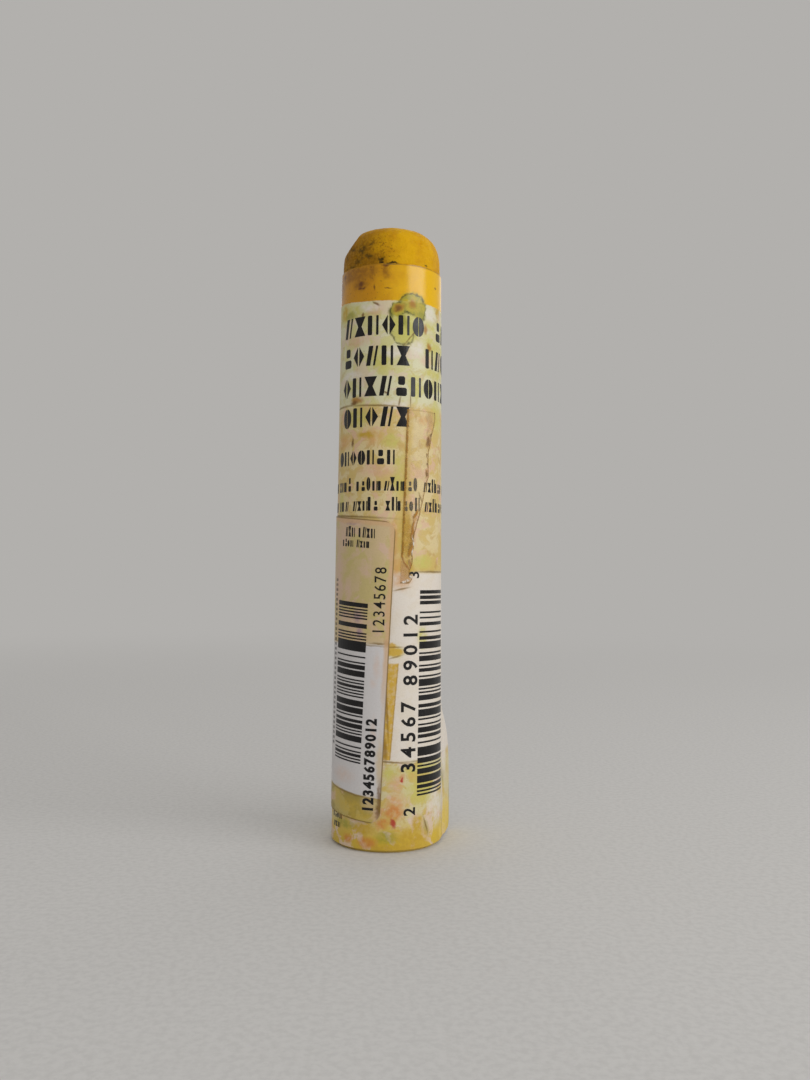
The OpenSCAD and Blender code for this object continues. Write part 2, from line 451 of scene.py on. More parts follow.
def turned_faces(rows):
    """Faces of a turned form: rings of points from the base up, then the base's middle and the crown."""
    faces = []
    for i in range(rows - 1):
        for j in range(TIP_COLUMNS):
            a = i * TIP_COLUMNS + j
            b = i * TIP_COLUMNS + (j + 1) % TIP_COLUMNS
            faces.append((a, b, b + TIP_COLUMNS, a + TIP_COLUMNS))
    middle = rows * TIP_COLUMNS
    last = middle - TIP_COLUMNS
    for j in range(TIP_COLUMNS):
        after = (j + 1) % TIP_COLUMNS
        faces.append((after, j, middle))
        faces.append((last + j, last + after, middle + 1))
    return faces


def make_pigment_stick(form):
    """The moulded stick of pressed pigment with its rubbed, pitted tip."""
    stick = form.stick
    tip_r, tip_z = tip_profile(form)
    base_r = stick.base_across / 2 - stick.bevel
    low = [(part * base_r, 0.0) for part in BASE_RINGS]
    low += [(form.stick_radius(stick.bevel), stick.bevel)]
    side = [(form.stick_radius(up), up) for up in np.linspace(stick.bevel, form.shoulder, SIDE_RINGS)[1:-1]]
    profile = np.array(low + side + list(zip(tip_r[:-1], tip_z[:-1])))
    turned = np.linspace(0, 2 * math.pi, TIP_COLUMNS, endpoint=False)
    up = np.broadcast_to(profile[:, 1:], (len(profile), TIP_COLUMNS))
    grid = form.spot(turned[None, :], profile[:, :1], up)
    points = worn_tip(np.concatenate([grid.reshape(-1, 3), [[0, 0, 0], [0, 0, stick.long]]]), form)
    faces = turned_faces(len(profile))
    finish = pigment_finish(form)
    piece = new_piece("pigment_stick_finish", points, faces, finish, ["pigment_stick"])
    around = np.arctan2(points[:, 0], -points[:, 1]) * form.girth_radius
    add_around(piece, around, 2 * math.pi * form.girth_radius)
    add_values(piece, up=points[:, 2])
    sharpen_edges(piece, TIP_CREASE)
    return piece


# ---- Paper wrap ----

WRAP_STEP = math.radians(2)
WRAP_ROW = 0.75
CORNER_COLUMNS = 10
# Small nibbles in the wrap's top edge: waves round the girth, phase, depth in millimetres
NIBBLES = [(7, 0.3, 0.03), (19, 1.9, 0.025), (43, 4.4, 0.02)]


def corner_columns(radius, count):
    """Distance in from an edge and up from an end, for columns round a corner from the edge inwards."""
    swing = np.linspace(0, math.pi / 2, count)
    return radius * (1 - np.cos(swing)), radius * (1 - np.sin(swing))


def make_paper_wrap(form):
    """The printed strip rolled once round the stick, lapped behind, with its free corner lifting."""
    wrap = form.wrap
    corner_in, corner_up = corner_columns(wrap.corner, CORNER_COLUMNS)
    start = form.lap_start - 2 * math.pi
    stop = wrap.lap_at - form.turn(wrap.corner)
    straight = np.linspace(start, stop, math.ceil((stop - start) / WRAP_STEP) + 1)[:-1]
    turned = np.concatenate([straight, wrap.lap_at - form.turn(corner_in[::-1])])
    drawn_up = np.concatenate([np.zeros(len(straight)), corner_up[::-1]])
    nibbled = sum(deep * (1 + np.sin(waves * turned + phase)) for waves, phase, deep in NIBBLES)
    rows = np.linspace(0, 1, round(wrap.tall / WRAP_ROW) + 1)
    low = wrap.rise + drawn_up
    high = wrap.rise + wrap.tall - nibbled
    up = low[None, :] + rows[:, None] * (high - low)[None, :]
    turned = np.broadcast_to(turned[None, :], up.shape)
    outer = form.wrap_spot(turned, up, wrap.thick)
    inner = form.wrap_spot(turned, up, 0)
    around = turned * form.girth_radius
    finish = wrap_finish(form)
    return sheet_piece("paper_wrap_finish", outer, inner, around, up, finish, ["paper_wrap"])


# ---- Shop sticker ----

STICKER_COLUMN = 0.35
STICKER_ROW = 0.7
STICKER_CORNER_COLUMNS = 9


def sticker_place(form, across, up):
    """Place on the wrap of points measured from the sticker's right side and lower end."""
    sticker = form.sticker
    around = sticker.right - across + sticker.lean * up
    return around, sticker.low + up + sticker.skew * across


def make_shop_sticker(form):
    """The rounded paper sticker, stuck slightly askew on the left front."""
    sticker = form.sticker
    corner_in, corner_up = corner_columns(sticker.corner, STICKER_CORNER_COLUMNS)
    columns = round((sticker.wide - 2 * sticker.corner) / STICKER_COLUMN) + 1
    middle = np.linspace(sticker.wide - sticker.corner, sticker.corner, columns)[1:-1]
    across = np.concatenate([sticker.wide - corner_in, middle, corner_in[::-1]])
    drawn_up = np.concatenate([corner_up, np.zeros(len(middle)), corner_up[::-1]])
    rows = np.linspace(0, 1, round(sticker.tall / STICKER_ROW) + 1)
    rise = drawn_up[None, :] + rows[:, None] * (sticker.tall - 2 * drawn_up)[None, :]
    across = np.broadcast_to(across[None, :], rise.shape)
    around, up = sticker_place(form, across, rise)
    gap = form.wrap.gap
    outer = form.on_wrap(around, up, gap + sticker.thick)
    inner = form.on_wrap(around, up, gap)
    finish = sticker_finish(form)
    piece = sheet_piece(
        "shop_sticker_finish", outer, inner, around, up, finish, ["stock_sticker"]
    )
    edge = np.minimum(np.minimum(across, sticker.wide - across), np.minimum(rise, sticker.tall - rise))
    add_values(piece, edge=np.tile(edge.ravel(), 2))
    return piece


# ---- Torn tape ----

TAPE_COLUMNS = 14
TAPE_ROWS = 90
# The torn edge: share of the strip's height, share of its width at the top
TORN_EDGE = [
    (0, 0.24), (0.03, 0.34), (0.06, 0.22), (0.12, 0.32), (0.17, 0.30), (0.21, 0.34), (0.27, 0.33),
    (0.34, 0.41), (0.41, 0.50), (0.46, 0.55), (0.50, 0.60), (0.58, 0.68), (0.62, 0.75), (0.68, 0.73),
    (0.76, 0.72), (0.81, 0.80), (0.86, 0.84), (0.92, 0.95), (0.97, 1), (1, 0.98),
]
# Fray along the torn edge: its depth, its pace in each millimetre and where its noise starts
FRAY = 0.05
FRAY_PACE = 1.7
FRAY_START = 3.1


def make_torn_tape(form):
    """The strip of clear tape that is left, with one straight cut edge and one torn edge."""
    tape = form.tape
    rows = np.linspace(0, 1, TAPE_ROWS)
    torn = np.interp(rows, *np.array(TORN_EDGE).T)
    fray = np.array([noise.noise(Vector((FRAY_START, row * tape.tall * FRAY_PACE, 0.0))) for row in rows])
    width = tape.wide * torn + FRAY * fray
    across = np.linspace(0, 1, TAPE_COLUMNS)[None, :] * width[:, None]
    rise = np.broadcast_to(rows[:, None] * tape.tall, across.shape)
    around = tape.left + tape.lean * rise + across
    up = tape.low + rise
    gap = form.wrap.gap
    outer = form.on_wrap(around, up, gap + tape.thick)
    inner = form.on_wrap(around, up, gap)
    finish = tape_finish(form)
    piece = sheet_piece("torn_tape_finish", outer, inner, around, up, finish, ["torn_tape"])
    from_cut = np.tile(across.ravel(), 2)
    from_torn = np.tile((width[:, None] - across).ravel(), 2)
    add_values(piece, from_cut=from_cut, from_torn=from_torn)
    return piece


# ---- Print ----

# The ink is cut into facets this wide, so that it follows the round of the stick
INK_STEP = 0.45
FIGURE_SMOOTHNESS = 3
ARC_POINTS = 13
CLIPPED = 0.18


def oblong(left, low, wide, tall):
    """A block with its corners clipped."""
    clip = CLIPPED * min(wide, tall)
    right, high = left + wide, low + tall
    return [
        (left + clip, low), (right - clip, low), (right, low + clip), (right, high - clip),
        (right - clip, high), (left + clip, high), (left, high - clip), (left, low + clip),
    ]


def half_oval(left, low, wide, tall, start):
    """Half of an upright oval, from the angle where its arc starts."""
    swing = np.linspace(start, start + math.pi, ARC_POINTS)
    return [(left + wide / 2 * (1 + math.cos(t)), low + tall / 2 * (1 + math.sin(t))) for t in swing]


def block(left, low, wide, tall):
    """A solid block."""
    return [oblong(left, low, wide, tall)]


def posts(left, low, wide, tall):
    """A thick post and a thin one."""
    thick = oblong(left + 0.05 * wide, low, 0.36 * wide, tall)
    thin = oblong(left + 0.72 * wide, low, 0.18 * wide, tall)
    return [thick, thin]


def slants(left, low, wide, tall):
    """A thick bar and a thin one that lean."""
    lean = 0.24 * wide
    bars = []
    for start, stop in ((0.0, 0.34 * wide), (0.56 * wide, 0.72 * wide)):
        near, far = left + start, left + stop
        bars.append([(near, low), (far, low), (far + lean, low + tall), (near + lean, low + tall)])
    return bars


def waisted(left, low, wide, tall):
    """Two wedges, point to point, with a neck between them."""
    right, top = left + wide, low + tall
    middle, half_way = left + wide / 2, low + tall / 2
    neck = 0.16 * wide
    lower = [(left, low), (right, low), (middle + neck, half_way), (middle - neck, half_way)]
    upper = [(middle - neck, half_way), (middle + neck, half_way), (right, top), (left, top)]
    return [lower, upper]


def gem(left, low, wide, tall):
    """A diamond split from top to foot."""
    half_way, top = low + tall / 2, low + tall
    near, far = left + 0.42 * wide, left + 0.56 * wide
    return [[(left, half_way), (near, low), (near, top)], [(far, low), (left + wide, half_way), (far, top)]]


def stack(left, low, wide, tall):
    """Two blocks, one over the other."""
    lower = oblong(left + 0.1 * wide, low, 0.8 * wide, 0.42 * tall)
    upper = oblong(left + 0.24 * wide, low + 0.56 * tall, 0.52 * wide, 0.44 * tall)
    return [lower, upper]


def moons(left, low, wide, tall):
    """The two halves of a split oval."""
    halves = []
    for start, shift in ((math.pi / 2, 0), (-math.pi / 2, 0.06 * wide)):
        halves.append(half_oval(left + shift, low, 0.94 * wide, tall, start))
    return halves


# Where a mark starts in its cell and how much of the cell's width it fills
MARK_INSET = 0.07
MARK_WIDE = 0.86


def mark_row(left, low, tall, pitch, marks):
    """A row of marks; None leaves a gap."""
    outlines = []
    for k, made in enumerate(marks):
        if made:
            outlines += made(left + (k + MARK_INSET) * pitch, low, MARK_WIDE * pitch, tall)
    return outlines


# Shapes of small print: share of a cell's width each one fills
SMALL_MARKS = [
    (block, 0.46), (posts, 1.05), (moons, 0.7), (slants, 0.95), (block, 0.5), (posts, 1.05),
    (waisted, 0.8), (stack, 0.8),
]


# The order in which small marks follow each other, and how often one is taller
SMALL_STRIDE = 3
TALL_EVERY = 4


def small_row(left, low, tall, tall_mark, pitch, words):
    """A row of small print: words of small marks, a few of them taller."""
    outlines = []
    cell = 0
    for word in words:
        for _ in range(word):
            made, filled = SMALL_MARKS[(cell * SMALL_STRIDE + word) % len(SMALL_MARKS)]
            high = tall_mark if cell % TALL_EVERY == 1 else tall
            outlines += made(left + cell * pitch, low, filled * pitch, high)
            cell += 1
        cell += 1
    return outlines


def stripes(left, right, low, high, widths, gaps):
    """Level stripes of made-up widths that fill a height. Each side is its place at the foot and its lean."""
    unit = (high - low) / (sum(widths) + sum(gaps[: len(widths) - 1]))
    outlines = []
    up = low
    for wide, gap in zip(widths, gaps):
        top = up + wide * unit
        corners = [(left, up), (right, up), (right, top), (left, top)]
        outlines.append([(place + lean * (level - low), level) for (place, lean), level in corners])
        up = top + gap * unit
    return outlines


def numeral(figure, bold):
    """Flat faces of one figure, one unit tall, as lists of points."""
    curve = bpy.data.curves.new("figure", "FONT")
    curve.body = figure
    curve.offset = bold
    curve.resolution_u = FIGURE_SMOOTHNESS
    holder = bpy.data.objects.new("figure", curve)
    mesh = bpy.data.meshes.new_from_object(holder)
    points = [(v.co.x, v.co.y) for v in mesh.vertices]
    faces = [list(p.vertices) for p in mesh.polygons]
    bpy.data.objects.remove(holder)
    bpy.data.meshes.remove(mesh)
    bpy.data.curves.remove(curve)
    low_x, high_x = min(p[0] for p in points), max(p[0] for p in points)
    low_y, high_y = min(p[1] for p in points), max(p[1] for p in points)
    scale = 1 / (high_y - low_y)
    middle = (low_x + high_x) / 2
    points = [((x - middle) * scale, (y - low_y) * scale) for x, y in points]
    return points, faces


def numeral_column(figures, right, low, pitch, tall, bold, lean, squeeze):
    """Figures that read upwards, each turned a quarter, from a low end. right is where their feet stand."""
    outlines = []
    for k, figure in enumerate(figures):
        points, faces = numeral(figure, bold)
        up = low + (k + 0.5) * pitch
        places = [(right + lean * up - y * tall, up + x * tall * squeeze) for x, y in points]
        outlines += [[places[i] for i in face] for face in faces]
    return outlines


def ink_piece(name, outlines, form, carrier_out, material):
    """Lays flat outlines on the paper as a thin layer of ink that follows the round of the stick."""
    flat = bmesh.new()
    for outline in outlines:
        flat.faces.new([flat.verts.new((around, up, 0)) for around, up in outline])
    bmesh.ops.remove_doubles(flat, verts=flat.verts[:], dist=1e-4)
    arounds = [v.co.x for v in flat.verts]
    for cut in np.arange(min(arounds) + INK_STEP, max(arounds), INK_STEP):
        everything = flat.verts[:] + flat.edges[:] + flat.faces[:]
        bmesh.ops.bisect_plane(flat, geom=everything, plane_co=(cut, 0, 0), plane_no=(1, 0, 0))
    turned_over = [f for f in flat.faces if f.normal.z < 0]
    bmesh.ops.reverse_faces(flat, faces=turned_over)
    flat.verts.index_update()
    places = np.array([v.co[:2] for v in flat.verts])
    top = [[v.index for v in f.verts] for f in flat.faces]
    rims = []
    for edge in flat.edges:
        if len(edge.link_faces) == 1:
            rims += [(loop.vert.index, loop.link_loop_next.vert.index) for loop in edge.link_loops]
    flat.free()
    count = len(places)
    low = carrier_out + form.print.ink_gap
    under = form.on_wrap(places[:, 0], places[:, 1], low)
    over = form.on_wrap(places[:, 0], places[:, 1], low + form.print.ink_thick)
    faces = top + [[i + count for i in reversed(face)] for face in top]
    faces += [[b, a, a + count, b + count] for a, b in rims]
    piece = new_piece(name, np.concatenate([over, under]), faces, material)
    add_values(piece, around=np.tile(places[:, 0], 2), up=np.tile(places[:, 1], 2))
    for polygon in piece.data.polygons:
        polygon.use_smooth = False
    return piece


# ---- Print on the wrap ----

TITLE_PITCH = 2.0
TITLE_TALL = 2.45
# Title rows: place of the left end, height of the foot, marks
TITLE_ROWS = [
    (-7.2, 63.4, [slants, waisted, posts, gem, posts, moons, None, stack, slants, posts, gem]),
    (-7.3, 59.6, [stack, gem, slants, posts, waisted, None, posts, slants, moons, stack]),
    (-7.5, 55.8, [gem, posts, waisted, slants, stack, posts, moons, posts, waisted, slants]),
    (-7.3, 52.0, [moons, posts, gem, slants, waisted]),
]
# Name row: place of the left end, height of the foot, height of a mark, pitch, marks
NAME_ROW = (-8.2, 47.3, 1.8, 1.3, [moons, posts, gem, moons, posts, stack, posts])
# Small print: place of the left end, height of the foot, heights of a low and a tall mark, pitch, words
SMALL_ROWS = [
    (-12.6, 44.05, 1.2, 1.7, 0.75, [5, 4, 11, 6, 5]),
    (-12.4, 41.6, 1.2, 1.7, 0.75, [5, 3, 5, 6, 6, 5]),
    (-8.2, 3.4, 0.65, 0.95, 0.55, [4]),
    (-8.0, 2.3, 0.65, 0.65, 0.55, [3]),
]
# The wrap's bar code: its foot and top, its sides as places at the foot and leans, its stripes from its foot
CODE_LOW, CODE_HIGH = 6.7, 31.85
CODE_LEFT, CODE_RIGHT = (3.85, 0.35 / 25.15), (9.35, 0)
CODE_WIDTHS = [
    1, 1, 2, 4, 3, 1, 3, 5, 1, 2, 3, 1, 1, 4, 2, 3, 1, 1, 4, 1, 2, 1, 3, 1, 4, 2, 1, 2, 1, 1, 2, 2, 2,
]
CODE_GAPS = [
    1, 1, 1, 1, 1, 1, 1, 2, 2, 1, 1, 2, 1, 1, 2, 1, 1, 1, 1, 2, 1, 2, 1, 2, 1, 2, 3, 2, 2, 4, 1, 1, 1,
]


# Columns of figures: figures, place of their feet, height of the low end, pitch, height, weight, lean and
# squeeze
WRAP_FIGURES = [
    ("2", 3.6, 4.0, 1.8, 1.5, 0.02, 0, 1),
    ("34567", 3.62, 9.3, 1.85, 1.9, 0.022, 0, 1),
    ("89012", 3.85, 19.9, 1.85, 1.9, 0.022, 0, 1),
    ("3", 4.05, 32.9, 1.7, 1.5, 0.015, 0, 1),
]


def make_title_print(form):
    """Rows of bold marks that stand for the title."""
    outlines = []
    for left, low, marks in TITLE_ROWS:
        outlines += mark_row(left, low, TITLE_TALL, TITLE_PITCH, marks)
    return ink_piece("title_ink", outlines, form, 0, ink_finish(form, "title ink"))


def make_small_print(form):
    """The bold name row, two rows of small print and a few marks near the foot."""
    outlines = mark_row(*NAME_ROW)
    for row in SMALL_ROWS:
        outlines += small_row(*row)
    return ink_piece("small_ink", outlines, form, 0, ink_finish(form, "small ink"))


def make_wrap_code(form):
    """The wrap's bar code: made-up stripes and plain figures in order."""
    outlines = stripes(CODE_LEFT, CODE_RIGHT, CODE_LOW, CODE_HIGH, CODE_WIDTHS, CODE_GAPS)
    for column in WRAP_FIGURES:
        outlines += numeral_column(*column)
    return ink_piece("wrap_code_ink", outlines, form, 0, ink_finish(form, "wrap code ink"))


# ---- Print on the sticker ----

# The sticker's bar code: foot and top, sides as places at the foot and leans, stripes from the foot
STICKER_CODE_LOW, STICKER_CODE_HIGH = 10.6, 30.2
STICKER_CODE_LEFT, STICKER_CODE_RIGHT = (-7.7368, 0.022), (-3.1, 0.036)
STICKER_WIDTHS = [
    1, 1, 2, 1, 1, 4, 1, 1, 3, 2, 1, 4, 4, 1, 1, 1, 2, 1, 1, 4, 3, 1, 1, 7, 1, 1, 1, 3, 1, 1, 1, 1, 3,
]
STICKER_GAPS = [
    1, 1, 1, 2, 3, 1, 1, 1, 1, 2, 1, 1, 2, 1, 1, 1, 1, 1, 2, 1, 1, 3, 3, 1, 1, 1, 3, 3, 1, 1, 1, 1, 1,
]


STICKER_FIGURES = [
    ("123456789012", -1.62, 4.8, 0.955, 1.35, 0.045, 0.032, 0.92),
    ("12345678", -1.28, 26.3, 1.06, 1.4, 0.005, 0.033, 0.88),
]
STICKER_ROWS = [(-6.0, 38.35, 1.15, 1.3, 0.55, [3, 4]), (-6.6, 37.1, 0.8, 0.95, 0.5, [4, 4])]
# Tilts of the sticker's stripes and rows: the place that stays, and the rise towards the left
CODE_TILT = (-3, 0.075)
ROW_TILT = (-4, 0.07)
# Column of small marks down the sticker's left: heights, then place at the foot, lean, width and height
TICK_HEIGHTS = np.arange(12.4, 33.0, 0.62)
TICK_PLACE, TICK_LEAN, TICK_WIDE, TICK_TALL = -8.8972, 0.022, 0.7, 0.34


def tilted(outlines, pivot, rise):
    """Outlines whose level lines rise towards the left."""
    return [[(around, up - rise * (around - pivot)) for around, up in outline] for outline in outlines]


def make_sticker_print(form):
    """The sticker's stripes, two columns of figures and its rows of small marks."""
    sides = (STICKER_CODE_LEFT, STICKER_CODE_RIGHT)
    code = stripes(*sides, STICKER_CODE_LOW, STICKER_CODE_HIGH, STICKER_WIDTHS, STICKER_GAPS)
    outlines = tilted(code, *CODE_TILT)
    for column in STICKER_FIGURES:
        outlines += numeral_column(*column)
    for row in STICKER_ROWS:
        outlines += tilted(small_row(*row), *ROW_TILT)
    for up in TICK_HEIGHTS:
        outlines += posts(TICK_PLACE + TICK_LEAN * (up - TICK_HEIGHTS[0]), up, TICK_WIDE, TICK_TALL)
    carrier_out = form.wrap.gap + form.sticker.thick
    return ink_piece("sticker_ink", outlines, form, carrier_out, ink_finish(form, "sticker ink"))


# ---- Material tools ----

# Numbers of the mixing node's sockets
MIX_SHARE = 0
COLOUR_UNDER, COLOUR_OVER, COLOUR_RESULT = 6, 7, 2
NUMBER_UNDER, NUMBER_OVER, NUMBER_RESULT = 2, 3, 0


def new_finish(name):
    """A material, its node tree and its main shader."""
    material = bpy.data.materials.new(name)
    material.use_nodes = True
    tree = material.node_tree
    return material, tree, tree.nodes["Principled BSDF"]


def node(tree, kind, **settings):
    """A new node with its settings."""
    made = tree.nodes.new(kind)
    for key, value in settings.items():
        setattr(made, key, value)
    return made


def feed(tree, socket, value):
    """Links another socket, or sets a plain value."""
    if isinstance(value, bpy.types.NodeSocket):
        tree.links.new(value, socket)
    elif isinstance(value, tuple) and len(value) == 3 and len(socket.default_value) == 4:
        socket.default_value = (*value, 1.0)
    else:
        socket.default_value = value


def calc(tree, operation, first, second=0.0, third=0.0):
    """One step of arithmetic."""
    made = node(tree, "ShaderNodeMath", operation=operation)
    for socket, value in zip(made.inputs, (first, second, third)):
        feed(tree, socket, value)
    return made.outputs[0]


def plus(tree, first, second):
    """The sum of two values."""
    return calc(tree, "ADD", first, second)


def minus(tree, first, second):
    """What is left of a value when another is taken away."""
    return calc(tree, "SUBTRACT", first, second)


def times(tree, first, second):
    """The product of two values."""
    return calc(tree, "MULTIPLY", first, second)


def larger(tree, first, second):
    """The larger of two values."""
    return calc(tree, "MAXIMUM", first, second)


def vector_calc(tree, operation, first, second=None, scale=None):
    """One step of vector arithmetic."""
    made = node(tree, "ShaderNodeVectorMath", operation=operation)
    feed(tree, made.inputs[0], first)
    if second is not None:
        feed(tree, made.inputs[1], second)
    if scale is not None:
        feed(tree, made.inputs["Scale"], scale)
    return made.outputs["Value"] if operation == "LENGTH" else made.outputs["Vector"]


def cover(tree, under, over, amount, mode="MIX"):
    """Lays one colour over another by an amount."""
    made = node(tree, "ShaderNodeMix", data_type="RGBA", blend_type=mode)
    feed(tree, made.inputs[MIX_SHARE], amount)
    feed(tree, made.inputs[COLOUR_UNDER], under)
    feed(tree, made.inputs[COLOUR_OVER], over)
    return made.outputs[COLOUR_RESULT]


def blend(tree, under, over, amount):
    """Goes from one number to another by an amount."""
    made = node(tree, "ShaderNodeMix", data_type="FLOAT")
    feed(tree, made.inputs[MIX_SHARE], amount)
    feed(tree, made.inputs[NUMBER_UNDER], under)
    feed(tree, made.inputs[NUMBER_OVER], over)
    return made.outputs[NUMBER_RESULT]


def between(tree, value, low, high, out_low=0.0, out_high=1.0):
    """Turns a range into another with soft ends."""
    made = node(tree, "ShaderNodeMapRange", interpolation_type="SMOOTHSTEP")
    feed(tree, made.inputs["Value"], value)
    feed(tree, made.inputs["From Min"], low)
    feed(tree, made.inputs["From Max"], high)
    feed(tree, made.inputs["To Min"], out_low)
    feed(tree, made.inputs["To Max"], out_high)
    return made.outputs["Result"]


def ramp(tree, value, stops):
    """A colour that changes along a value. stops are positions from 0 to 1 and colours."""
    made = node(tree, "ShaderNodeValToRGB")
    elements = made.color_ramp.elements
    for k, (position, shade) in enumerate(stops):
        element = elements[k] if k < 2 else elements.new(position)
        element.position = position
        element.color = (*shade, 1.0)
    feed(tree, made.inputs["Fac"], value)
    return made.outputs["Color"]


def cloudy(tree, place, scale, detail=3.0, rough=0.55, spread=0.0):
    """A noise node; scale is features for each millimetre."""
    made = node(tree, "ShaderNodeTexNoise")
    feed(tree, made.inputs["Vector"], place)
    feed(tree, made.inputs["Scale"], scale)
    feed(tree, made.inputs["Detail"], detail)
    feed(tree, made.inputs["Roughness"], rough)
    feed(tree, made.inputs["Distortion"], spread)
    return made


def mottle(tree, place, *settings):
    """Soft noise about 0.5, with the settings of its node."""
    return cloudy(tree, place, *settings).outputs["Fac"]


def read_value(tree, name):
    """A number stored on the mesh."""
    return node(tree, "ShaderNodeAttribute", attribute_name=name).outputs["Fac"]


def flat_place(tree):
    """The place on the unrolled paper, in millimetres."""
    made = node(tree, "ShaderNodeCombineXYZ")
    feed(tree, made.inputs["X"], read_value(tree, "around"))
    feed(tree, made.inputs["Y"], read_value(tree, "up"))
    return made.outputs["Vector"]


def to_the_right(tree):
    """How far to the right of the stick's middle a point lies, in millimetres."""
    split = node(tree, "ShaderNodeSeparateXYZ")
    feed(tree, split.inputs["Vector"], node(tree, "ShaderNodeTexCoord").outputs["Object"])
    return calc(tree, "DIVIDE", split.outputs["X"], MM)


def wander(tree, place, scale, amount):
    """Shifts a place by noise, so that outlines run unevenly."""
    shift = vector_calc(tree, "SUBTRACT", cloudy(tree, place, scale, 2.0).outputs["Color"], (0.5, 0.5, 0.5))
    return vector_calc(tree, "ADD", place, vector_calc(tree, "SCALE", shift, scale=amount))


# How far out a blot's distance is measured, and how widely two blots run into each other
BLOT_REACH = 3.0
BLOT_JOIN = 0.25


def blots(tree, place, stains):
    """Distance to the nearest of several blots: 0 at its middle, 1 at its edge and BLOT_REACH at most."""
    deepest = None
    for around, up, half_wide, half_tall, lean in stains:
        local = node(tree, "ShaderNodeMapping", vector_type="TEXTURE")
        feed(tree, local.inputs["Vector"], place)
        local.inputs["Location"].default_value = (around, up, 0)
        local.inputs["Rotation"].default_value = (0, 0, math.radians(lean))
        local.inputs["Scale"].default_value = (BLOT_REACH * half_wide, BLOT_REACH * half_tall, BLOT_REACH)
        core = node(tree, "ShaderNodeTexGradient", gradient_type="SPHERICAL")
        feed(tree, core.inputs["Vector"], local.outputs["Vector"])
        depth = core.outputs["Fac"]
        if deepest is None:
            deepest = depth
        else:
            deepest = calc(tree, "SMOOTH_MAX", deepest, depth, BLOT_JOIN / BLOT_REACH)
    return times(tree, minus(tree, 1.0, deepest), BLOT_REACH)


def inside(tree, reach, soft):
    """1 inside the blots and 0 outside."""
    return between(tree, reach, 1 - soft, 1 + soft, 1.0, 0.0)


def blotted(tree, place, stains, soft):
    """1 inside any of several blots and 0 outside, with a soft edge."""
    return inside(tree, blots(tree, place, stains), soft)


def rim(tree, reach, width):
    """1 on the blots' edge, falling to 0 on both sides of it."""
    away = calc(tree, "ABSOLUTE", minus(tree, reach, 1.0))
    return between(tree, away, 0.0, width, 1.0, 0.0)


def bump(tree, shader, height, distance, strength):
    """Fine relief, with its depth in millimetres."""
    made = node(tree, "ShaderNodeBump")
    feed(tree, made.inputs["Height"], height)
    made.inputs["Distance"].default_value = distance * MM
    made.inputs["Strength"].default_value = strength
    tree.links.new(made.outputs["Normal"], shader.inputs["Normal"])


# ---- Pigment finish ----

# Blots: place around and up, half width, half height, lean in degrees
GRIME = [
    (-5.6, 74.3, 3.6, 2.0, 15), (-3.6, 72.8, 3.0, 1.3, 0), (-8.5, 72.8, 2.5, 2.2, 0),
    (-12, 74.2, 2.0, 1.6, 0),
]
DARK_GRIME = [
    (-4.3, 74.4, 0.8, 0.8, 35), (-7.5, 74.2, 0.4, 0.6, 0), (-5.0, 73.2, 1.1, 0.4, 10),
    (-6.2, 74.9, 0.8, 0.3, -20), (-3.0, 73.4, 0.9, 0.3, -25), (-6.3, 72.4, 1.0, 0.25, 0),
    (-2.6, 75.2, 0.7, 0.25, 30),
]
TIP_PITS = [
    (-1.3, 73.1, 0.42, 0.32, 30), (-1.25, 72.55, 0.3, 0.22, 0), (5.2, 72.65, 0.3, 0.12, 0),
    (0.1, 72.35, 0.8, 0.1, 0),
]
SCUFFED = [(-1.6, 74.2, 2.6, 2.0, 0)]
# Painted light: paler pigment at the foot, lifting the contact shadow on the bare pigment just under the wrap
FOOT_PAINTED_LIGHT = tone(206, 176, 84)
HELD_PIGMENT = tone(176, 122, 3)


def pigment_finish(form):
    """Pressed pigment: matte, grainy, with grime rubbed into its left side."""
    stick = form.stick
    material, tree, shader = new_finish("pigment")
    flat = flat_place(tree)
    place = wander(tree, wander(tree, flat, 0.7, 1.2), 3.0, 0.45)
    solid = vector_calc(tree, "SCALE", node(tree, "ShaderNodeTexCoord").outputs["Object"], scale=1 / MM)
    broad = mottle(tree, solid, 0.45, 4.0)
    fine = mottle(tree, solid, 3.2, 4.0, 0.65)
    look = cover(tree, stick.pigment, stick.pigment_deep, between(tree, broad, 0.42, 0.72, 0.0, 0.8))
    look = cover(tree, look, stick.pigment_deep, between(tree, fine, 0.5, 0.74, 0.0, 0.6))
    held = between(tree, to_the_right(tree), 2.5, -3.0)
    look = cover(tree, look, HELD_PIGMENT, times(tree, held, between(tree, broad, 0.3, 0.6, 0.35, 0.75)))
    grimy = times(tree, blotted(tree, place, GRIME, 0.45), between(tree, fine, 0.36, 0.6, 0.55, 1.0))
    look = cover(tree, look, stick.grime, times(tree, grimy, 0.9))
    patchy = mottle(tree, solid, 1.3, 3.0, 0.6)
    dark = times(tree, blotted(tree, place, DARK_GRIME, 0.7), between(tree, patchy, 0.42, 0.6, 0.15, 0.85))
    look = cover(tree, look, stick.grime_dark, dark)
    specks = times(tree, blotted(tree, place, SCUFFED, 0.3), between(tree, fine, 0.54, 0.64))
    look = cover(tree, look, stick.grime, times(tree, specks, 0.85))
    look = cover(tree, look, stick.grime_dark, blotted(tree, place, TIP_PITS, 0.35))
    # Painted light: the pigment turns paler over its lowest millimetre and a half, against the contact shadow
    # there
    look = cover(tree, look, FOOT_PAINTED_LIGHT, between(tree, read_value(tree, "up"), 1.5, 0.5))
    feed(tree, shader.inputs["Base Color"], look)
    feed(tree, shader.inputs["Roughness"], between(tree, fine, 0.35, 0.65, 0.5, 0.72))
    shader.inputs["Specular IOR Level"].default_value = 0.15
    bump(tree, shader, plus(tree, fine, mottle(tree, solid, 9.0, 3.0)), 0.12, 0.7)
    return material


# ---- Paper finishes ----

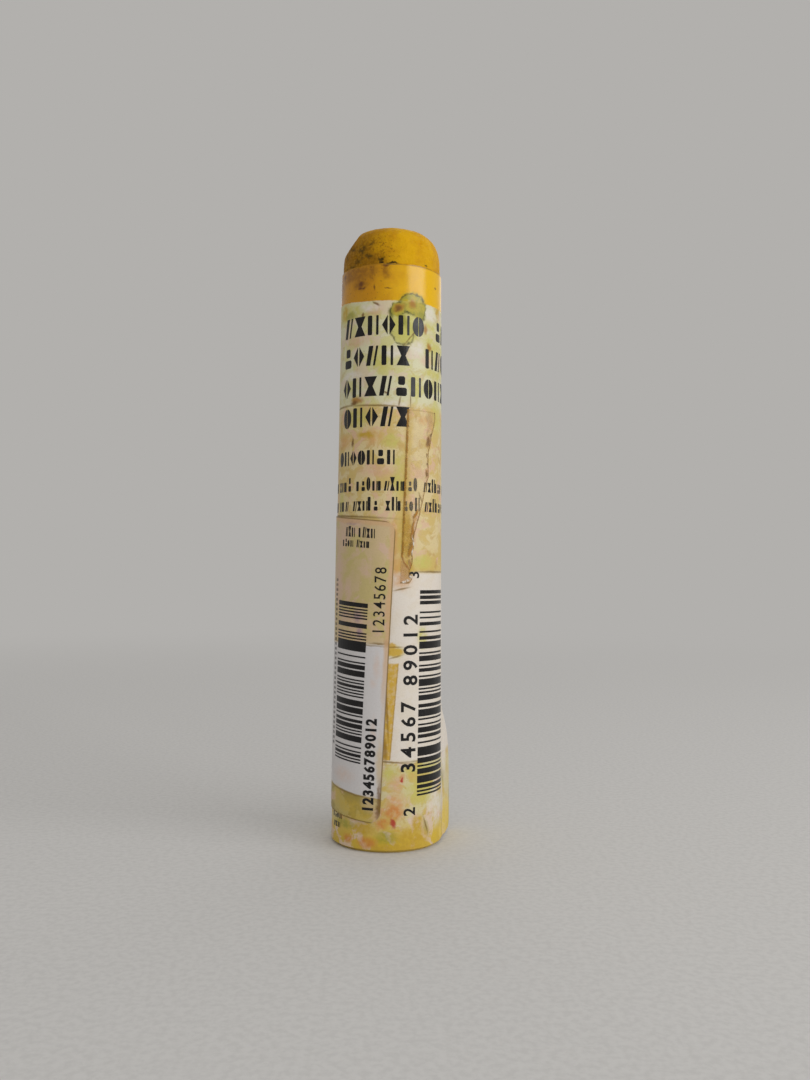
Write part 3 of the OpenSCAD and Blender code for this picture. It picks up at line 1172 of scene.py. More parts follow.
TONES = {
    "cream": tone(217, 213, 176),
    "buff": tone(222, 202, 151),
    "wheat": tone(214, 186, 110),
    "foot cream": tone(214, 202, 158),
    "foot gold": tone(212, 180, 56),
    "olive drab": tone(166, 146, 72),
    "sticker stained": tone(208, 184, 142),
    "sticker mauve": tone(214, 182, 160),
    "sticker moss": tone(198, 182, 116),
    "sticker border": tone(213, 174, 130),
    "gum amber": tone(206, 160, 68),
    "strip": tone(208, 166, 46),
    "strip foot": tone(142, 104, 34),
    "flap yellow": tone(228, 198, 88),
    "gum glow": tone(208, 178, 84),
    "peach": tone(218, 178, 124),
    "lemon": tone(204, 196, 104),
    "honey": tone(208, 178, 96),
    "gold": tone(206, 174, 66),
    "blush": tone(222, 198, 184),
    "rose": tone(222, 184, 156),
    "tan": tone(194, 166, 98),
    "toffee": tone(196, 158, 92),
    "apricot": tone(214, 160, 96),
    "olive": tone(184, 166, 44),
    "moss": tone(150, 148, 52),
    "dark moss": tone(66, 66, 20),
    "lobe": tone(194, 188, 92),
    "rust": tone(168, 112, 26),
    "brown": tone(112, 74, 26),
    "pink": tone(220, 170, 152),
    "mauve": tone(160, 132, 146),
    "mustard": tone(196, 160, 52),
    "orange": tone(206, 132, 62),
    "crimson": tone(178, 44, 44),
    "white": tone(228, 220, 210),
    "tide": tone(132, 104, 46),
    "band grime": tone(128, 80, 8),
    "band spots": tone(96, 50, 14),
    "band edge": tone(170, 118, 8),
    "inside": tone(220, 206, 176),
}
HEIGHT_SPAN = 80.0
# Tone of the wrap from its foot to its printed band, which changes where water stopped
WRAP_TONES = [
    (0.0, "foot gold"), (1.6, "foot gold"), (4.6, "foot cream"), (10.8, "foot cream"), (11.15, "clean"),
    (33.9, "clean"), (34.25, "wheat"), (37.5, "buff"), (54.3, "buff"), (55.2, "cream"), (67.6, "cream"),
]
YELLOW_WET = [
    (2.4, 64.6, 2.1, 2.3, 0), (6.4, 62.6, 2.4, 0.8, 0), (6.6, 59.1, 2.2, 0.6, 0), (-1.0, 60.2, 1.2, 1.6, 0),
    (-5.8, 66.6, 2.6, 0.9, 0), (1.0, 24.3, 0.9, 0.7, 0), (4.6, 26.0, 0.7, 1.2, 0), (5.8, 65.2, 1.1, 0.8, -20),
    (7.4, 53.6, 1.6, 1.8, 0), (-4.5, 53.2, 1.8, 1.1, 0), (3.4, 57.2, 0.9, 1.5, 0), (-7.6, 42.6, 0.8, 1.6, 0),
    (4.6, 35.4, 1.6, 0.8, 0), (1.4, 46.0, 0.9, 2.5, 0), (0.2, 50.2, 1.0, 0.8, 0),
    (4.4, 7.2, 2.0, 1.6, 0), (4.6, 9.9, 2.6, 0.6, 0), (0.4, 9.4, 1.2, 0.9, 0),
]
OLIVE_BLOT = [(3.0, 67.35, 1.75, 1.3, 0), (1.0, 66.55, 0.95, 0.9, 25), (4.0, 66.7, 0.85, 1.1, 0)]
OLIVE_LOBE = [(1.6, 64.0, 1.5, 1.9, 10)]
MOSS = [
    (4.3, 66.1, 0.6, 0.6, 0), (0.1, 65.9, 0.4, 0.7, 0), (1.7, 65.2, 0.5, 0.9, 20),
    (3.6, 64.4, 0.6, 0.7, -30), (-6.0, 66.3, 1.0, 0.5, 0),
]
RUST = [
    (1.1, 66.8, 0.75, 0.5, 30), (2.9, 67.4, 0.5, 0.5, 0), (-4.6, 55.4, 0.9, 0.4, 0),
    (5.6, 62.3, 0.4, 0.5, 30), (4.9, 64.5, 0.3, 0.5, 0), (5.45, 50.4, 0.32, 0.7, -20),
    (5.15, 46.3, 0.2, 0.5, 0),
]
BROWN = [
    (1.0, 66.7, 0.4, 0.3, 30), (5.45, 50.45, 0.3, 0.55, -25), (5.2, 48.7, 0.1, 0.25, 0),
    (2.15, 54.0, 0.3, 0.22, 0), (5.25, 47.5, 0.12, 0.2, 0), (5.15, 46.2, 0.17, 0.35, 0),
    (3.15, 38.6, 0.16, 0.6, -8), (-5.0, 55.1, 0.6, 0.25, 0), (-3.7, 66.1, 0.2, 0.3, 0),
    (-1.9, 67.4, 0.45, 0.17, -30), (6.0, 51.3, 0.15, 0.3, -30), (-0.5, 56.2, 0.2, 0.15, 0),
    (2.75, 37.4, 0.2, 0.5, -20), (-5.1, 50.2, 0.2, 0.5, 0), (2.2, 42.0, 0.12, 0.5, 10),
]
PINK = [
    (-4.6, 62.9, 1.7, 0.7, 0), (-1.5, 46.5, 2.2, 0.7, 0), (1.2, 8.4, 0.7, 0.9, 0),
    (-2.0, 66.6, 0.9, 0.6, 0), (5.2, 60.6, 1.0, 0.6, 0),
]
APRICOT = [
    (1.0, 34.8, 0.9, 1.5, 0), (1.2, 5.9, 1.1, 1.3, 0), (-2.2, 50.8, 1.1, 0.9, 0), (-7.0, 50.4, 1.6, 0.8, 0),
    (4.7, 53.0, 0.8, 0.5, 0), (6.2, 52.9, 0.4, 1.2, 0), (0.6, 38.0, 0.6, 2.5, 0), (1.7, 33.1, 1.2, 1.1, 20),
]
MUSTARD = [
    (2.3, 38.6, 0.9, 2.6, 0), (2.5, 34.6, 0.6, 1.3, 0), (3.4, 1.7, 2.3, 1.3, 0), (-3.0, 51.0, 1.2, 0.4, 0),
    (1.6, 0.6, 3.5, 0.5, 0), (-2.6, 2.9, 1.5, 0.7, 0), (-7.4, 66.8, 0.9, 0.9, 0), (4.0, 3.2, 0.8, 1.2, 0),
    (7.6, 67.2, 0.7, 0.8, 0),
]
FLAP_YELLOW = [(12.6, 2.4, 2.9, 2.5, 0), (9.4, 1.6, 1.0, 1.3, 0)]
# Gum under the tape, along its cut edge
GUM_GLOW = [(2.5, 51.0, 0.5, 3.6, -2), (2.15, 44.5, 0.6, 4.2, -2), (2.0, 38.5, 0.7, 2.8, 0)]
DARK_MOSS = [
    (0.0, 66.1, 0.22, 0.45, 20), (1.5, 65.2, 0.12, 0.5, 20), (4.6, 65.7, 0.25, 0.25, 0),
    (10.3, 8.4, 0.12, 0.9, 0),
]
# Dried pigment beside the sticker: a blot at the top of its strip, and dirt along the strip
STRIP_TOP = [(0.8, 24.3, 1.15, 0.5, 4), (0.4, 25.0, 0.7, 0.4, 0)]
STRIP_DIRT = [
    (-0.15, 12.4, 0.25, 1.3, 3), (0.05, 17.0, 0.12, 3.4, 3), (1.0, 23.7, 0.7, 0.1, 15),
    (0.9, 24.9, 0.9, 0.1, 0),
]
# The strip: its foot, top and left side, and its right side at height 0 and in each millimetre of height
STRIP_REACH = (11.2, 22.9, -1.2, -0.46, 0.08)
ORANGE = [
    (0.9, 4.9, 1.1, 0.8, 0), (-2.2, 1.2, 1.0, 0.6, 0), (-4.9, 1.4, 0.6, 0.5, 0), (1.95, 9.0, 0.3, 0.5, 0),
    (-0.4, 3.6, 0.7, 0.5, 0),
]
CRIMSON = [(0.85, 3.6, 0.35, 0.55, 20), (1.95, 8.8, 0.14, 0.28, 0)]
MOSS_FOOT = [
    (0.2, 1.8, 1.3, 0.8, 0), (-5.5, 3.1, 2.0, 0.5, 0), (10.4, 8.0, 1.0, 1.1, 0), (15.2, 3.0, 0.5, 2.6, 0),
    (5.3, 2.6, 0.4, 0.9, 25),
]
WHITE = [
    (9.9, 5.5, 0.7, 2.6, 0), (7.0, 6.3, 0.9, 1.0, 0), (3.6, 62.0, 1.1, 0.8, 0), (5.8, 66.4, 1.0, 0.9, 0),
    (-2.8, 66.9, 1.3, 0.5, 0), (11.2, 10.5, 1.6, 2.2, 0), (0.4, 61.2, 1.4, 0.6, 0), (-5.6, 58.6, 1.6, 0.5, 0),
    (0.6, 54.7, 1.6, 0.5, 0), (7.6, 4.8, 1.2, 1.8, 0), (6.2, 5.2, 0.7, 0.8, 0),
]
# Thin dark lines, most of them tide lines where water dried. The one at 9.75 round and 3.0 up is painted
# shadow in the crease where the lifted corner leaves the wrap. The one at -6.0 round and 41.0 up runs along
# the sticker's top edge.
TIDE_AND_SHADOW_LINES = [
    (-8.5, 54.9, 3.6, 0.12, -0.8), (-1.6, 54.62, 3.7, 0.11, -2.8), (1.25, 55.1, 0.11, 0.65, -12),
    (6.7, 34.12, 2.9, 0.12, 0), (0.2, 11.0, 2.6, 0.1, -5), (6.5, 10.95, 3.6, 0.09, 0),
    (-6.0, 41.0, 5.4, 0.12, -3.2), (0.05, 72.2, 0.8, 0.08, 0), (1.7, 32.0, 0.9, 0.1, 12),
    (4.2, 43.3, 0.12, 0.6, 25), (2.7, 55.3, 0.07, 0.8, 0), (9.75, 3.0, 0.12, 2.6, 0),
    (2.8, 63.4, 1.6, 0.08, 50), (5.2, 3.0, 0.1, 1.0, 20),
]
BAND_GRIME = [
    (-5.6, 71.5, 3.8, 1.1, 0), (-4.2, 70.1, 1.2, 0.9, 0), (-9.5, 70.6, 1.6, 1.6, 0),
    (-0.6, 71.4, 0.5, 1.0, 0), (-2.6, 71.6, 0.6, 1.2, 0),
]
BAND_SPOTS = [
    (-4.1, 70.0, 0.45, 0.3, 0), (-4.2, 69.5, 0.3, 0.15, 0), (-3.6, 69.35, 0.3, 0.15, 20),
    (-0.6, 72.1, 0.5, 0.15, 0), (7.0, 70.1, 0.2, 0.12, 0), (-0.4, 69.2, 0.4, 0.1, 0),
    (-2.1, 69.4, 0.15, 0.3, 0), (-7.6, 71.6, 0.3, 0.2, 0),
]


# Stains on the wrap, with one painted crease shadow among the last, from the first laid to the last: blots,
# tone, softness of the edge, strength, whether the outline keeps close to its blots, whether it is patchy.
# The first lie under the dried strip.
UNDER_STAINS = [
    (YELLOW_WET, "lemon", 0.55, 0.85, False, True), (PINK, "pink", 0.7, 0.6, False, True),
    (APRICOT, "apricot", 0.7, 0.7, False, True), (MOSS_FOOT, "moss", 0.6, 0.7, False, True),
    (MUSTARD, "mustard", 0.5, 0.95, False, True), (GUM_GLOW, "gum glow", 0.8, 0.8, True, True),
    (STRIP_TOP, "strip", 0.35, 0.85, False, False),
]
OVER_STAINS = [
    (STRIP_DIRT, "strip foot", 0.7, 0.7, True, False), (FLAP_YELLOW, "flap yellow", 0.4, 0.9, False, True),
    (ORANGE, "orange", 0.7, 0.9, False, True), (WHITE, "white", 0.6, 0.8, False, True),
    (CRIMSON, "crimson", 0.5, 0.9, False, False),
]
BAND_STAINS = [
    (BAND_GRIME, "band grime", 0.6, 0.75, False, True), (BAND_SPOTS, "band spots", 0.7, 0.8, False, False),
]
# The last layers: dark moss, brown spots, the tide lines and the painted crease shadow
LAST_STAINS_AND_SHADOW = [
    (DARK_MOSS, "dark moss", 0.7, 0.7, False, False), (BROWN, "brown", 0.6, 0.85, False, False),
    (TIDE_AND_SHADOW_LINES, "tide", 0.8, 0.85, True, False),
]
# Heights between which the paper turns damp at the foot, above the dry stretch and under the title
FOOT_LINE = (11.2, 10.7)
DRY_LINE = (33.9, 34.4)
TITLE_LINE = (54.3, 55.2)
# Broad washes: shift and scale of their noise, level above which they lie, tones at the foot, above the dry
# stretch and under the title, strength, strength of their dried edge
WASHES = [
    ((0.0, 0.0, 0.0), 0.34, 0.47, ("gold", "honey", "lemon"), 0.7, 0.45),
    ((31.0, 7.0, 0.0), 0.42, 0.53, ("blush", "rose", "blush"), 0.75, 0.0),
    ((5.0, 53.0, 0.0), 0.55, 0.58, ("apricot", "toffee", "tan"), 0.6, 0.3),
]
# The washes weaken towards the back between these places round the stick
BACK_FADE = (10.5, 14.5)
# How strongly the paper's fibres show in its tone
GRAIN_SHOWS = 0.18


def paper_tones(tree, place, tones, clean):
    """The paper's broad tone along its height; a stretch with no tone of its own is clean."""
    rise = node(tree, "ShaderNodeSeparateXYZ")
    feed(tree, rise.inputs["Vector"], place)
    height = calc(tree, "DIVIDE", rise.outputs["Y"], HEIGHT_SPAN)
    return ramp(tree, height, [(up / HEIGHT_SPAN, TONES.get(name, clean)) for up, name in tones])


def stain(tree, look, place, stains, tone_name, soft, amount, patchy=None):
    """Lays one colour of stain, or of painted shadow, over a paper."""
    covered = times(tree, blotted(tree, place, stains, soft), amount)
    if patchy is not None:
        covered = times(tree, covered, patchy)
    return cover(tree, look, TONES[tone_name], covered)


def lay_stains(tree, look, layers, loose, close, patchy):
    """Lays stains, and any painted shadow among them, one over another. loose and close are places that
    wander more and less.
    """
    for stains, tone_name, soft, amount, keeps_close, uneven in layers:
        place = close if keeps_close else loose
        look = stain(tree, look, place, stains, tone_name, soft, amount, patchy if uneven else None)
    return look


def wash_field(tree, place, shift, scale):
    """Slow noise for one wash, moved so that no two washes match."""
    return mottle(tree, vector_calc(tree, "ADD", place, shift), scale, 5.0, 0.58, 0.6)


def wash(tree, look, field, level, shade, amount, line_amount):
    """Lays a wash where its field is above a level, with a darker line where its edge dried."""
    covered = times(tree, between(tree, field, level, level + 0.08), amount)
    look = cover(tree, look, shade, covered)
    away = calc(tree, "ABSOLUTE", minus(tree, field, level + 0.03))
    dried = times(tree, between(tree, away, 0.0, 0.012, 1.0, 0.0), line_amount)
    return cover(tree, look, TONES["tan"], dried)


def by_zone(tree, titled, above, foot_name, middle_name, title_name):
    """The tone that a wash has at the foot, above the dry stretch and under the title."""
    middle = cover(tree, TONES[foot_name], TONES[middle_name], above)
    return cover(tree, middle, TONES[title_name], titled)


def paper_grain(tree, flat, look):
    """Small changes of tone in the paper's fibres."""
    fibre = mottle(tree, flat, 4.5, 4.0, 0.7)
    dull = cover(tree, look, (0.62, 0.58, 0.48), 1.0, "MULTIPLY")
    return cover(tree, look, dull, between(tree, fibre, 0.42, 0.75, 0.0, GRAIN_SHOWS)), fibre


def wrap_washes(tree, look, flat, height):
    """The broad washes: strong where the paper was wet and faint where it stayed dry."""
    loose = wander(tree, flat, 0.5, 1.4)
    titled = between(tree, height, *TITLE_LINE)
    above = between(tree, height, *DRY_LINE)
    wet = larger(tree, above, between(tree, height, *FOOT_LINE))
    wet = times(tree, between(tree, wet, 0.0, 1.0, 0.1, 1.0), between(tree, titled, 0.0, 1.0, 1.0, 0.75))
    to_the_back = calc(tree, "ABSOLUTE", read_value(tree, "around"))
    wet = times(tree, wet, between(tree, to_the_back, *BACK_FADE, 1.0, 0.45))
    for shift, scale, level, names, amount, line_amount in WASHES:
        field = wash_field(tree, loose, shift, scale)
        shade = by_zone(tree, titled, above, *names)
        look = wash(tree, look, field, level, shade, times(tree, wet, amount), times(tree, wet, line_amount))
    flecks = between(tree, mottle(tree, flat, 2.4, 2.0), 0.68, 0.74)
    return cover(tree, look, TONES["moss"], times(tree, flecks, times(tree, wet, 0.5)))


def olive_blot(tree, look, place, height):
    """The olive blot on the band's edge, its lobe below and their dark outlines."""
    rough = wander(tree, place, 2.0, 0.5)
    mixed = mottle(tree, place, 1.8, 4.0)
    uneven = between(tree, mixed, 0.35, 0.6, 0.35, 1.0)
    lobe = blots(tree, rough, OLIVE_LOBE)
    look = cover(tree, look, TONES["lobe"], times(tree, inside(tree, lobe, 0.2), 0.75))
    lobe_line = times(tree, rim(tree, lobe, 0.16), between(tree, height, 64.6, 63.6, 0.0, 0.8))
    look = cover(tree, look, TONES["dark moss"], times(tree, lobe_line, uneven))
    blot = blots(tree, rough, OLIVE_BLOT)
    covered = inside(tree, blot, 0.12)
    look = cover(tree, look, TONES["olive"], times(tree, covered, 0.92))
    look = cover(tree, look, TONES["moss"], times(tree, covered, between(tree, mixed, 0.48, 0.62, 0.0, 0.6)))
    look = stain(tree, look, place, MOSS, "moss", 0.6, 0.75)
    look = stain(tree, look, place, RUST, "rust", 0.6, 0.85)
    soft_line = times(tree, rim(tree, blot, 0.32), between(tree, height, 65.6, 66.2, 0.0, 0.6))
    look = cover(tree, look, TONES["moss"], soft_line)
    blot_line = times(tree, rim(tree, blot, 0.15), between(tree, height, 65.8, 66.2, 0.0, 0.85))
    return cover(tree, look, TONES["dark moss"], times(tree, blot_line, uneven))


def dried_strip(tree, look, place, patchy):
    """The strip of dried pigment between the sticker and the wrap's figures."""
    foot, top, left, right, slope = STRIP_REACH
    split = node(tree, "ShaderNodeSeparateXYZ")
    feed(tree, split.inputs["Vector"], place)
    up = split.outputs["Y"]
    past = minus(tree, split.outputs["X"], calc(tree, "MULTIPLY_ADD", up, slope, right))
    covered = times(tree, between(tree, past, 0.12, -0.06), between(tree, up, foot - 0.1, foot + 0.1))
    covered = times(tree, covered, between(tree, up, top + 0.12, top - 0.12))
    covered = times(tree, covered, between(tree, split.outputs["X"], left - 0.3, left))
    line = times(tree, between(tree, calc(tree, "ABSOLUTE", past), 0.16, 0.02), times(tree, covered, 0.5))
    covered = times(tree, covered, between(tree, patchy, 0.5, 1.0, 0.7, 0.95))
    look = cover(tree, look, TONES["strip"], covered)
    return cover(tree, look, TONES["strip foot"], line)


def wrap_finish(form):
    """Printed paper that pigment water has stained over and over."""
    wrap = form.wrap
    material, tree, shader = new_finish("wrap paper")
    flat = flat_place(tree)
    place = wander(tree, wander(tree, flat, 1.0, 0.6), 3.6, 0.28)
    near = wander(tree, flat, 2.5, 0.12)
    height = read_value(tree, "up")
    look = paper_tones(tree, near, WRAP_TONES, wrap.paper)
    look = wrap_washes(tree, look, flat, height)
    patchy = between(tree, mottle(tree, flat, 1.6, 4.0), 0.32, 0.6, 0.5, 1.0)
    look = lay_stains(tree, look, UNDER_STAINS, place, near, patchy)
    look = dried_strip(tree, look, near, patchy)
    look = lay_stains(tree, look, OVER_STAINS, place, near, patchy)

    patch = mottle(tree, wander(tree, flat, 0.5, 1.0), 0.5, 4.0, 0.6)
    band_wave = mottle(tree, flat, 1.4, 3.0)
    edge_low = plus(tree, height, times(tree, minus(tree, band_wave, 0.5), 0.25))
    edge_low = minus(tree, edge_low, between(tree, read_value(tree, "around"), -2.0, -9.0, 0.0, 0.5))
    banded = between(tree, edge_low, wrap.band_low - 0.06, wrap.band_low + 0.06)
    held = plus(tree, to_the_right(tree), times(tree, minus(tree, patch, 0.5), 8.0))
    band = cover(tree, wrap.band, wrap.band_held, between(tree, held, 4.5, -3.5))
    band = lay_stains(tree, band, BAND_STAINS, place, near, patchy)
    specks = between(tree, mottle(tree, flat, 2.8, 3.0), 0.6, 0.7)
    specks = times(tree, specks, between(tree, held, 2.0, -3.0, 0.0, 0.55))
    band = cover(tree, band, TONES["band spots"], specks)
    top = wrap.rise + wrap.tall
    band = cover(tree, band, TONES["band edge"], between(tree, height, top - 0.3, top - 0.06))
    look = cover(tree, look, band, banded)

    look = olive_blot(tree, look, place, height)
    look = lay_stains(tree, look, LAST_STAINS_AND_SHADOW, place, near, patchy)
    look, fibre = paper_grain(tree, flat, look)
    outside = between(tree, read_value(tree, "outside"), 0.3, 0.9)
    under = cover(tree, TONES["inside"], TONES["honey"], between(tree, patch, 0.5, 0.7, 0.0, 0.7))
    look = cover(tree, under, look, larger(tree, outside, banded))
    feed(tree, shader.inputs["Base Color"], look)
    dull = between(tree, fibre, 0.3, 0.7, 0.42, 0.56)
    glossy = between(tree, patch, 0.35, 0.7, 0.16, 0.22)
    feed(tree, shader.inputs["Roughness"], blend(tree, dull, glossy, banded))
    shader.inputs["Specular IOR Level"].default_value = 0.34
    bump(tree, shader, fibre, 0.05, 0.25)
    return material


STICKER_TONES = [(2.0, "clean"), (25.0, "clean"), (25.4, "sticker stained"), (42.0, "sticker stained")]
STICKER_MAUVE = [
    (-3.6, 27.8, 0.7, 1.5, 0), (-4.6, 40.3, 1.2, 0.6, 0), (-6.4, 38.6, 0.9, 1.8, 0),
    (-5.4, 31.5, 0.5, 1.5, 0), (-7.6, 33.0, 1.0, 4.0, 0),
]
STICKER_SMOKE = [(-3.9, 28.6, 0.5, 0.7, 20), (-3.5, 26.6, 0.4, 0.6, 0), (-4.9, 40.2, 0.8, 0.3, 0)]
# A brown stain at the top of the clean part, then painted shadow along the sticker's lower right edge
STICKER_DIRT_AND_SHADOW = [(0.0, 25.3, 0.3, 0.35, 0), (-0.75, 6.4, 0.26, 2.0, 0), (-0.9, 5.0, 0.3, 0.8, 0)]
STICKER_BEIGE = [(-0.75, 10.6, 0.4, 2.8, 0), (-1.9, 6.0, 0.9, 0.9, 0)]
STICKER_MOSS = [
    (-1.2, 33.5, 0.9, 2.2, 0), (-4.8, 34.8, 1.8, 1.6, 0), (-2.2, 29.0, 0.9, 1.8, 0),
    (-2.8, 38.6, 0.9, 1.6, 0),
]
STICKER_GOLD = [(-5.0, 5.4, 2.6, 0.9, -6), (-3.0, 4.4, 1.6, 0.7, 0), (-6.9, 6.4, 1.0, 0.8, 0)]
STICKER_ROSE = [
    (-1.6, 20.5, 0.4, 0.5, 0), (-1.2, 22.5, 0.35, 1.4, 0), (-1.5, 14.5, 0.3, 1.6, 0),
    (-6.0, 9.0, 1.6, 0.8, 0),
]
STICKER_LINES = [(-5.0, 6.95, 3.4, 0.11, -7), (-5.5, 25.25, 5.4, 0.08, -3), (-1.0, 25.3, 1.0, 0.12, -3)]
# Stains on the sticker, and painted shadow along its lower right edge, in the same order of values as those
# on the wrap
STICKER_STAINS_AND_SHADOW = [
    (STICKER_MOSS, "sticker moss", 0.8, 0.6, False, True),
    (STICKER_MAUVE, "sticker mauve", 0.8, 0.85, False, True),
    (STICKER_SMOKE, "mauve", 0.8, 0.8, False, True), (STICKER_GOLD, "gold", 0.8, 0.7, False, True),
    (STICKER_ROSE, "rose", 0.8, 0.35, False, True),
    (STICKER_BEIGE, "sticker stained", 0.8, 0.75, False, False),
    (STICKER_DIRT_AND_SHADOW, "brown", 0.7, 0.75, False, False), (STICKER_LINES, "tide", 0.8, 0.75, True, False),
]
# The sticker's lower tide line slopes this much, about this place round the stick
FOOT_SLOPE, FOOT_PIVOT = 0.12, 4.5


def sticker_finish(form):
    """Coated sticker paper: clean below, stained above a tide line and with a dark line round its edge."""
    material, tree, shader = new_finish("sticker paper")
    flat = flat_place(tree)
    place = wander(tree, wander(tree, flat, 0.9, 0.7), 3.6, 0.22)
    near = wander(tree, flat, 1.5, 0.25)
    height = read_value(tree, "up")
    foot = plus(tree, height, times(tree, plus(tree, read_value(tree, "around"), FOOT_PIVOT), FOOT_SLOPE))
    look = paper_tones(tree, near, STICKER_TONES, form.sticker.clean)
    look = cover(tree, look, TONES["olive drab"], between(tree, foot, 7.1, 6.9))
    stained = larger(tree, between(tree, height, 25.1, 25.8), between(tree, foot, 7.0, 6.6))
    loose = wander(tree, flat, 0.5, 1.4)
    mossy = wash_field(tree, loose, (11.0, 3.0, 0.0), 0.36)
    mauve = wash_field(tree, loose, (47.0, 29.0, 0.0), 0.45)
    covered, line = times(tree, stained, 0.7), times(tree, stained, 0.3)
    look = wash(tree, look, mossy, 0.48, TONES["sticker moss"], covered, line)
    look = wash(tree, look, mauve, 0.52, TONES["sticker mauve"], times(tree, stained, 0.75), 0.0)
    patchy = between(tree, mottle(tree, flat, 1.6, 4.0), 0.32, 0.6, 0.5, 1.0)
    look = lay_stains(tree, look, STICKER_STAINS_AND_SHADOW, place, near, patchy)
    edge = read_value(tree, "edge")
    ragged = plus(tree, edge, times(tree, minus(tree, mossy, 0.5), 0.8))
    border = times(tree, between(tree, ragged, 0.8, 0.4), between(tree, height, 12.0, 26.0, 0.0, 0.8))
    look = cover(tree, look, TONES["sticker border"], border)
    # A dark line round the sticker's edge
    look = cover(tree, look, TONES["tide"], between(tree, edge, 0.2, 0.04, 0.0, 0.9))
    look, fibre = paper_grain(tree, flat, look)
    feed(tree, shader.inputs["Base Color"], look)
    feed(tree, shader.inputs["Roughness"], between(tree, fibre, 0.3, 0.7, 0.36, 0.5))
    shader.inputs["Specular IOR Level"].default_value = 0.35
    bump(tree, shader, fibre, 0.03, 0.3)
    return material


TAPE_OLIVE = [(5.8, 53.3, 0.7, 0.9, 0), (2.5, 53.9, 0.35, 0.3, 0), (5.6, 52.0, 0.3, 0.9, -20)]
TAPE_AMBER = [(2.4, 38.3, 0.8, 2.6, 0), (3.4, 40.9, 0.3, 0.9, -20)]
TAPE_PEACH = [(1.9, 34.0, 0.8, 1.5, 15)]
TAPE_RUST = [
    (3.05, 39.2, 0.16, 1.2, -8), (2.8, 36.8, 0.2, 0.8, -20), (3.5, 41.2, 0.16, 0.6, -30),
    (2.8, 34.9, 0.16, 0.6, 15), (1.62, 36.2, 0.1, 0.8, 22), (2.2, 35.0, 0.1, 0.75, 32),
]
TAPE_FIBRES = [
    (3.15, 37.8, 0.1, 0.7, 10), (3.05, 36.6, 0.1, 0.4, 0), (2.3, 33.0, 0.35, 0.16, 20),
    (2.9, 33.5, 0.2, 0.2, 0), (1.9, 32.9, 0.2, 0.14, 0),
]


def tape_finish(form):
    """Aged clear tape: thin and faintly amber, with gum gathered along its edges."""
    tape = form.tape
    material, tree, shader = new_finish("clear tape")
    flat = flat_place(tree)
    place = wander(tree, flat, 1.6, 0.4)
    patch = mottle(tree, flat, 0.9, 4.0, 0.6)
    grit = mottle(tree, flat, 2.6, 4.0, 0.7)
    ragged = times(tree, minus(tree, grit, 0.5), 0.35)
    cut = plus(tree, read_value(tree, "from_cut"), ragged)
    torn = plus(tree, read_value(tree, "from_torn"), ragged)
    up = read_value(tree, "up")
    cut_gum = times(tree, between(tree, cut, 0.4, 0.14), between(tree, patch, 0.35, 0.6, 0.3, 0.66))
    cut_gum = times(tree, cut_gum, between(tree, up, 35.5, 36.8, 0.2, 1.0))
    glow = times(tree, between(tree, cut, 1.2, 0.2), between(tree, patch, 0.3, 0.6, 0.04, 0.12))
    torn_gum = between(tree, torn, 0.17, 0.05, 0.0, 0.4)
    dashes = times(tree, between(tree, torn, 0.3, 0.1), between(tree, grit, 0.56, 0.62, 0.0, 0.8))
    top = between(tree, up, tape.low + tape.tall - 0.22, tape.low + tape.tall - 0.04, 0.0, 0.2)
    foot = between(tree, up, tape.low + 0.3, tape.low + 0.05, 0.0, 0.5)
    amber = times(tree, blotted(tree, place, TAPE_AMBER, 0.6), between(tree, grit, 0.3, 0.6, 0.08, 0.24))
    peach = times(tree, blotted(tree, place, TAPE_PEACH, 0.6), 0.3)
    olive = times(tree, blotted(tree, place, TAPE_OLIVE, 0.6), 0.25)
    rust = times(tree, blotted(tree, place, TAPE_RUST, 0.6), 0.85)
    fibres = times(tree, blotted(tree, place, TAPE_FIBRES, 0.6), between(tree, grit, 0.4, 0.55, 0.4, 1.0))
    look = cover(tree, tape.film, TONES["gold"], between(tree, glow, 0.0, 0.3))
    look = cover(tree, look, TONES["gum amber"], between(tree, amber, 0.0, 0.15))
    look = cover(tree, look, TONES["peach"], between(tree, peach, 0.0, 0.2))
    look = cover(tree, look, TONES["tan"], olive)
    gum = larger(tree, larger(tree, cut_gum, torn_gum), larger(tree, top, foot))
    look = cover(tree, look, tape.gum, between(tree, gum, 0.0, 0.4))
    look = cover(tree, look, TONES["rust"], rust)
    look = cover(tree, look, TONES["brown"], dashes)
    look = cover(tree, look, TONES["white"], fibres)
    feed(tree, shader.inputs["Base Color"], look)
    thickest = between(tree, patch, 0.35, 0.7, 0.02, 0.08)
    for layer in (gum, glow, amber, peach, olive, rust, dashes, fibres):
        thickest = larger(tree, thickest, layer)
    feed(tree, shader.inputs["Alpha"], thickest)
    feed(tree, shader.inputs["Roughness"], between(tree, patch, 0.35, 0.7, 0.3, 0.45))
    shader.inputs["Specular IOR Level"].default_value = 0.3
    bump(tree, shader, patch, 0.05, 0.3)
    return material


def ink_finish(form, name):
    """Black ink, rubbed thin here and there."""
    material, tree, shader = new_finish(name)
    flat = flat_place(tree)
    rubbed = mottle(tree, flat, 1.1, 5.0, 0.7)
    look = cover(tree, form.print.ink, form.print.ink_worn, between(tree, rubbed, 0.54, 0.74, 0.0, 0.8))
    feed(tree, shader.inputs["Base Color"], look)
    feed(tree, shader.inputs["Roughness"], between(tree, rubbed, 0.35, 0.65, 0.26, 0.4))
    shader.inputs["Specular IOR Level"].default_value = 0.35
    bump(tree, shader, rubbed, 0.01, 0.2)
    return material


# ---- Stage ----

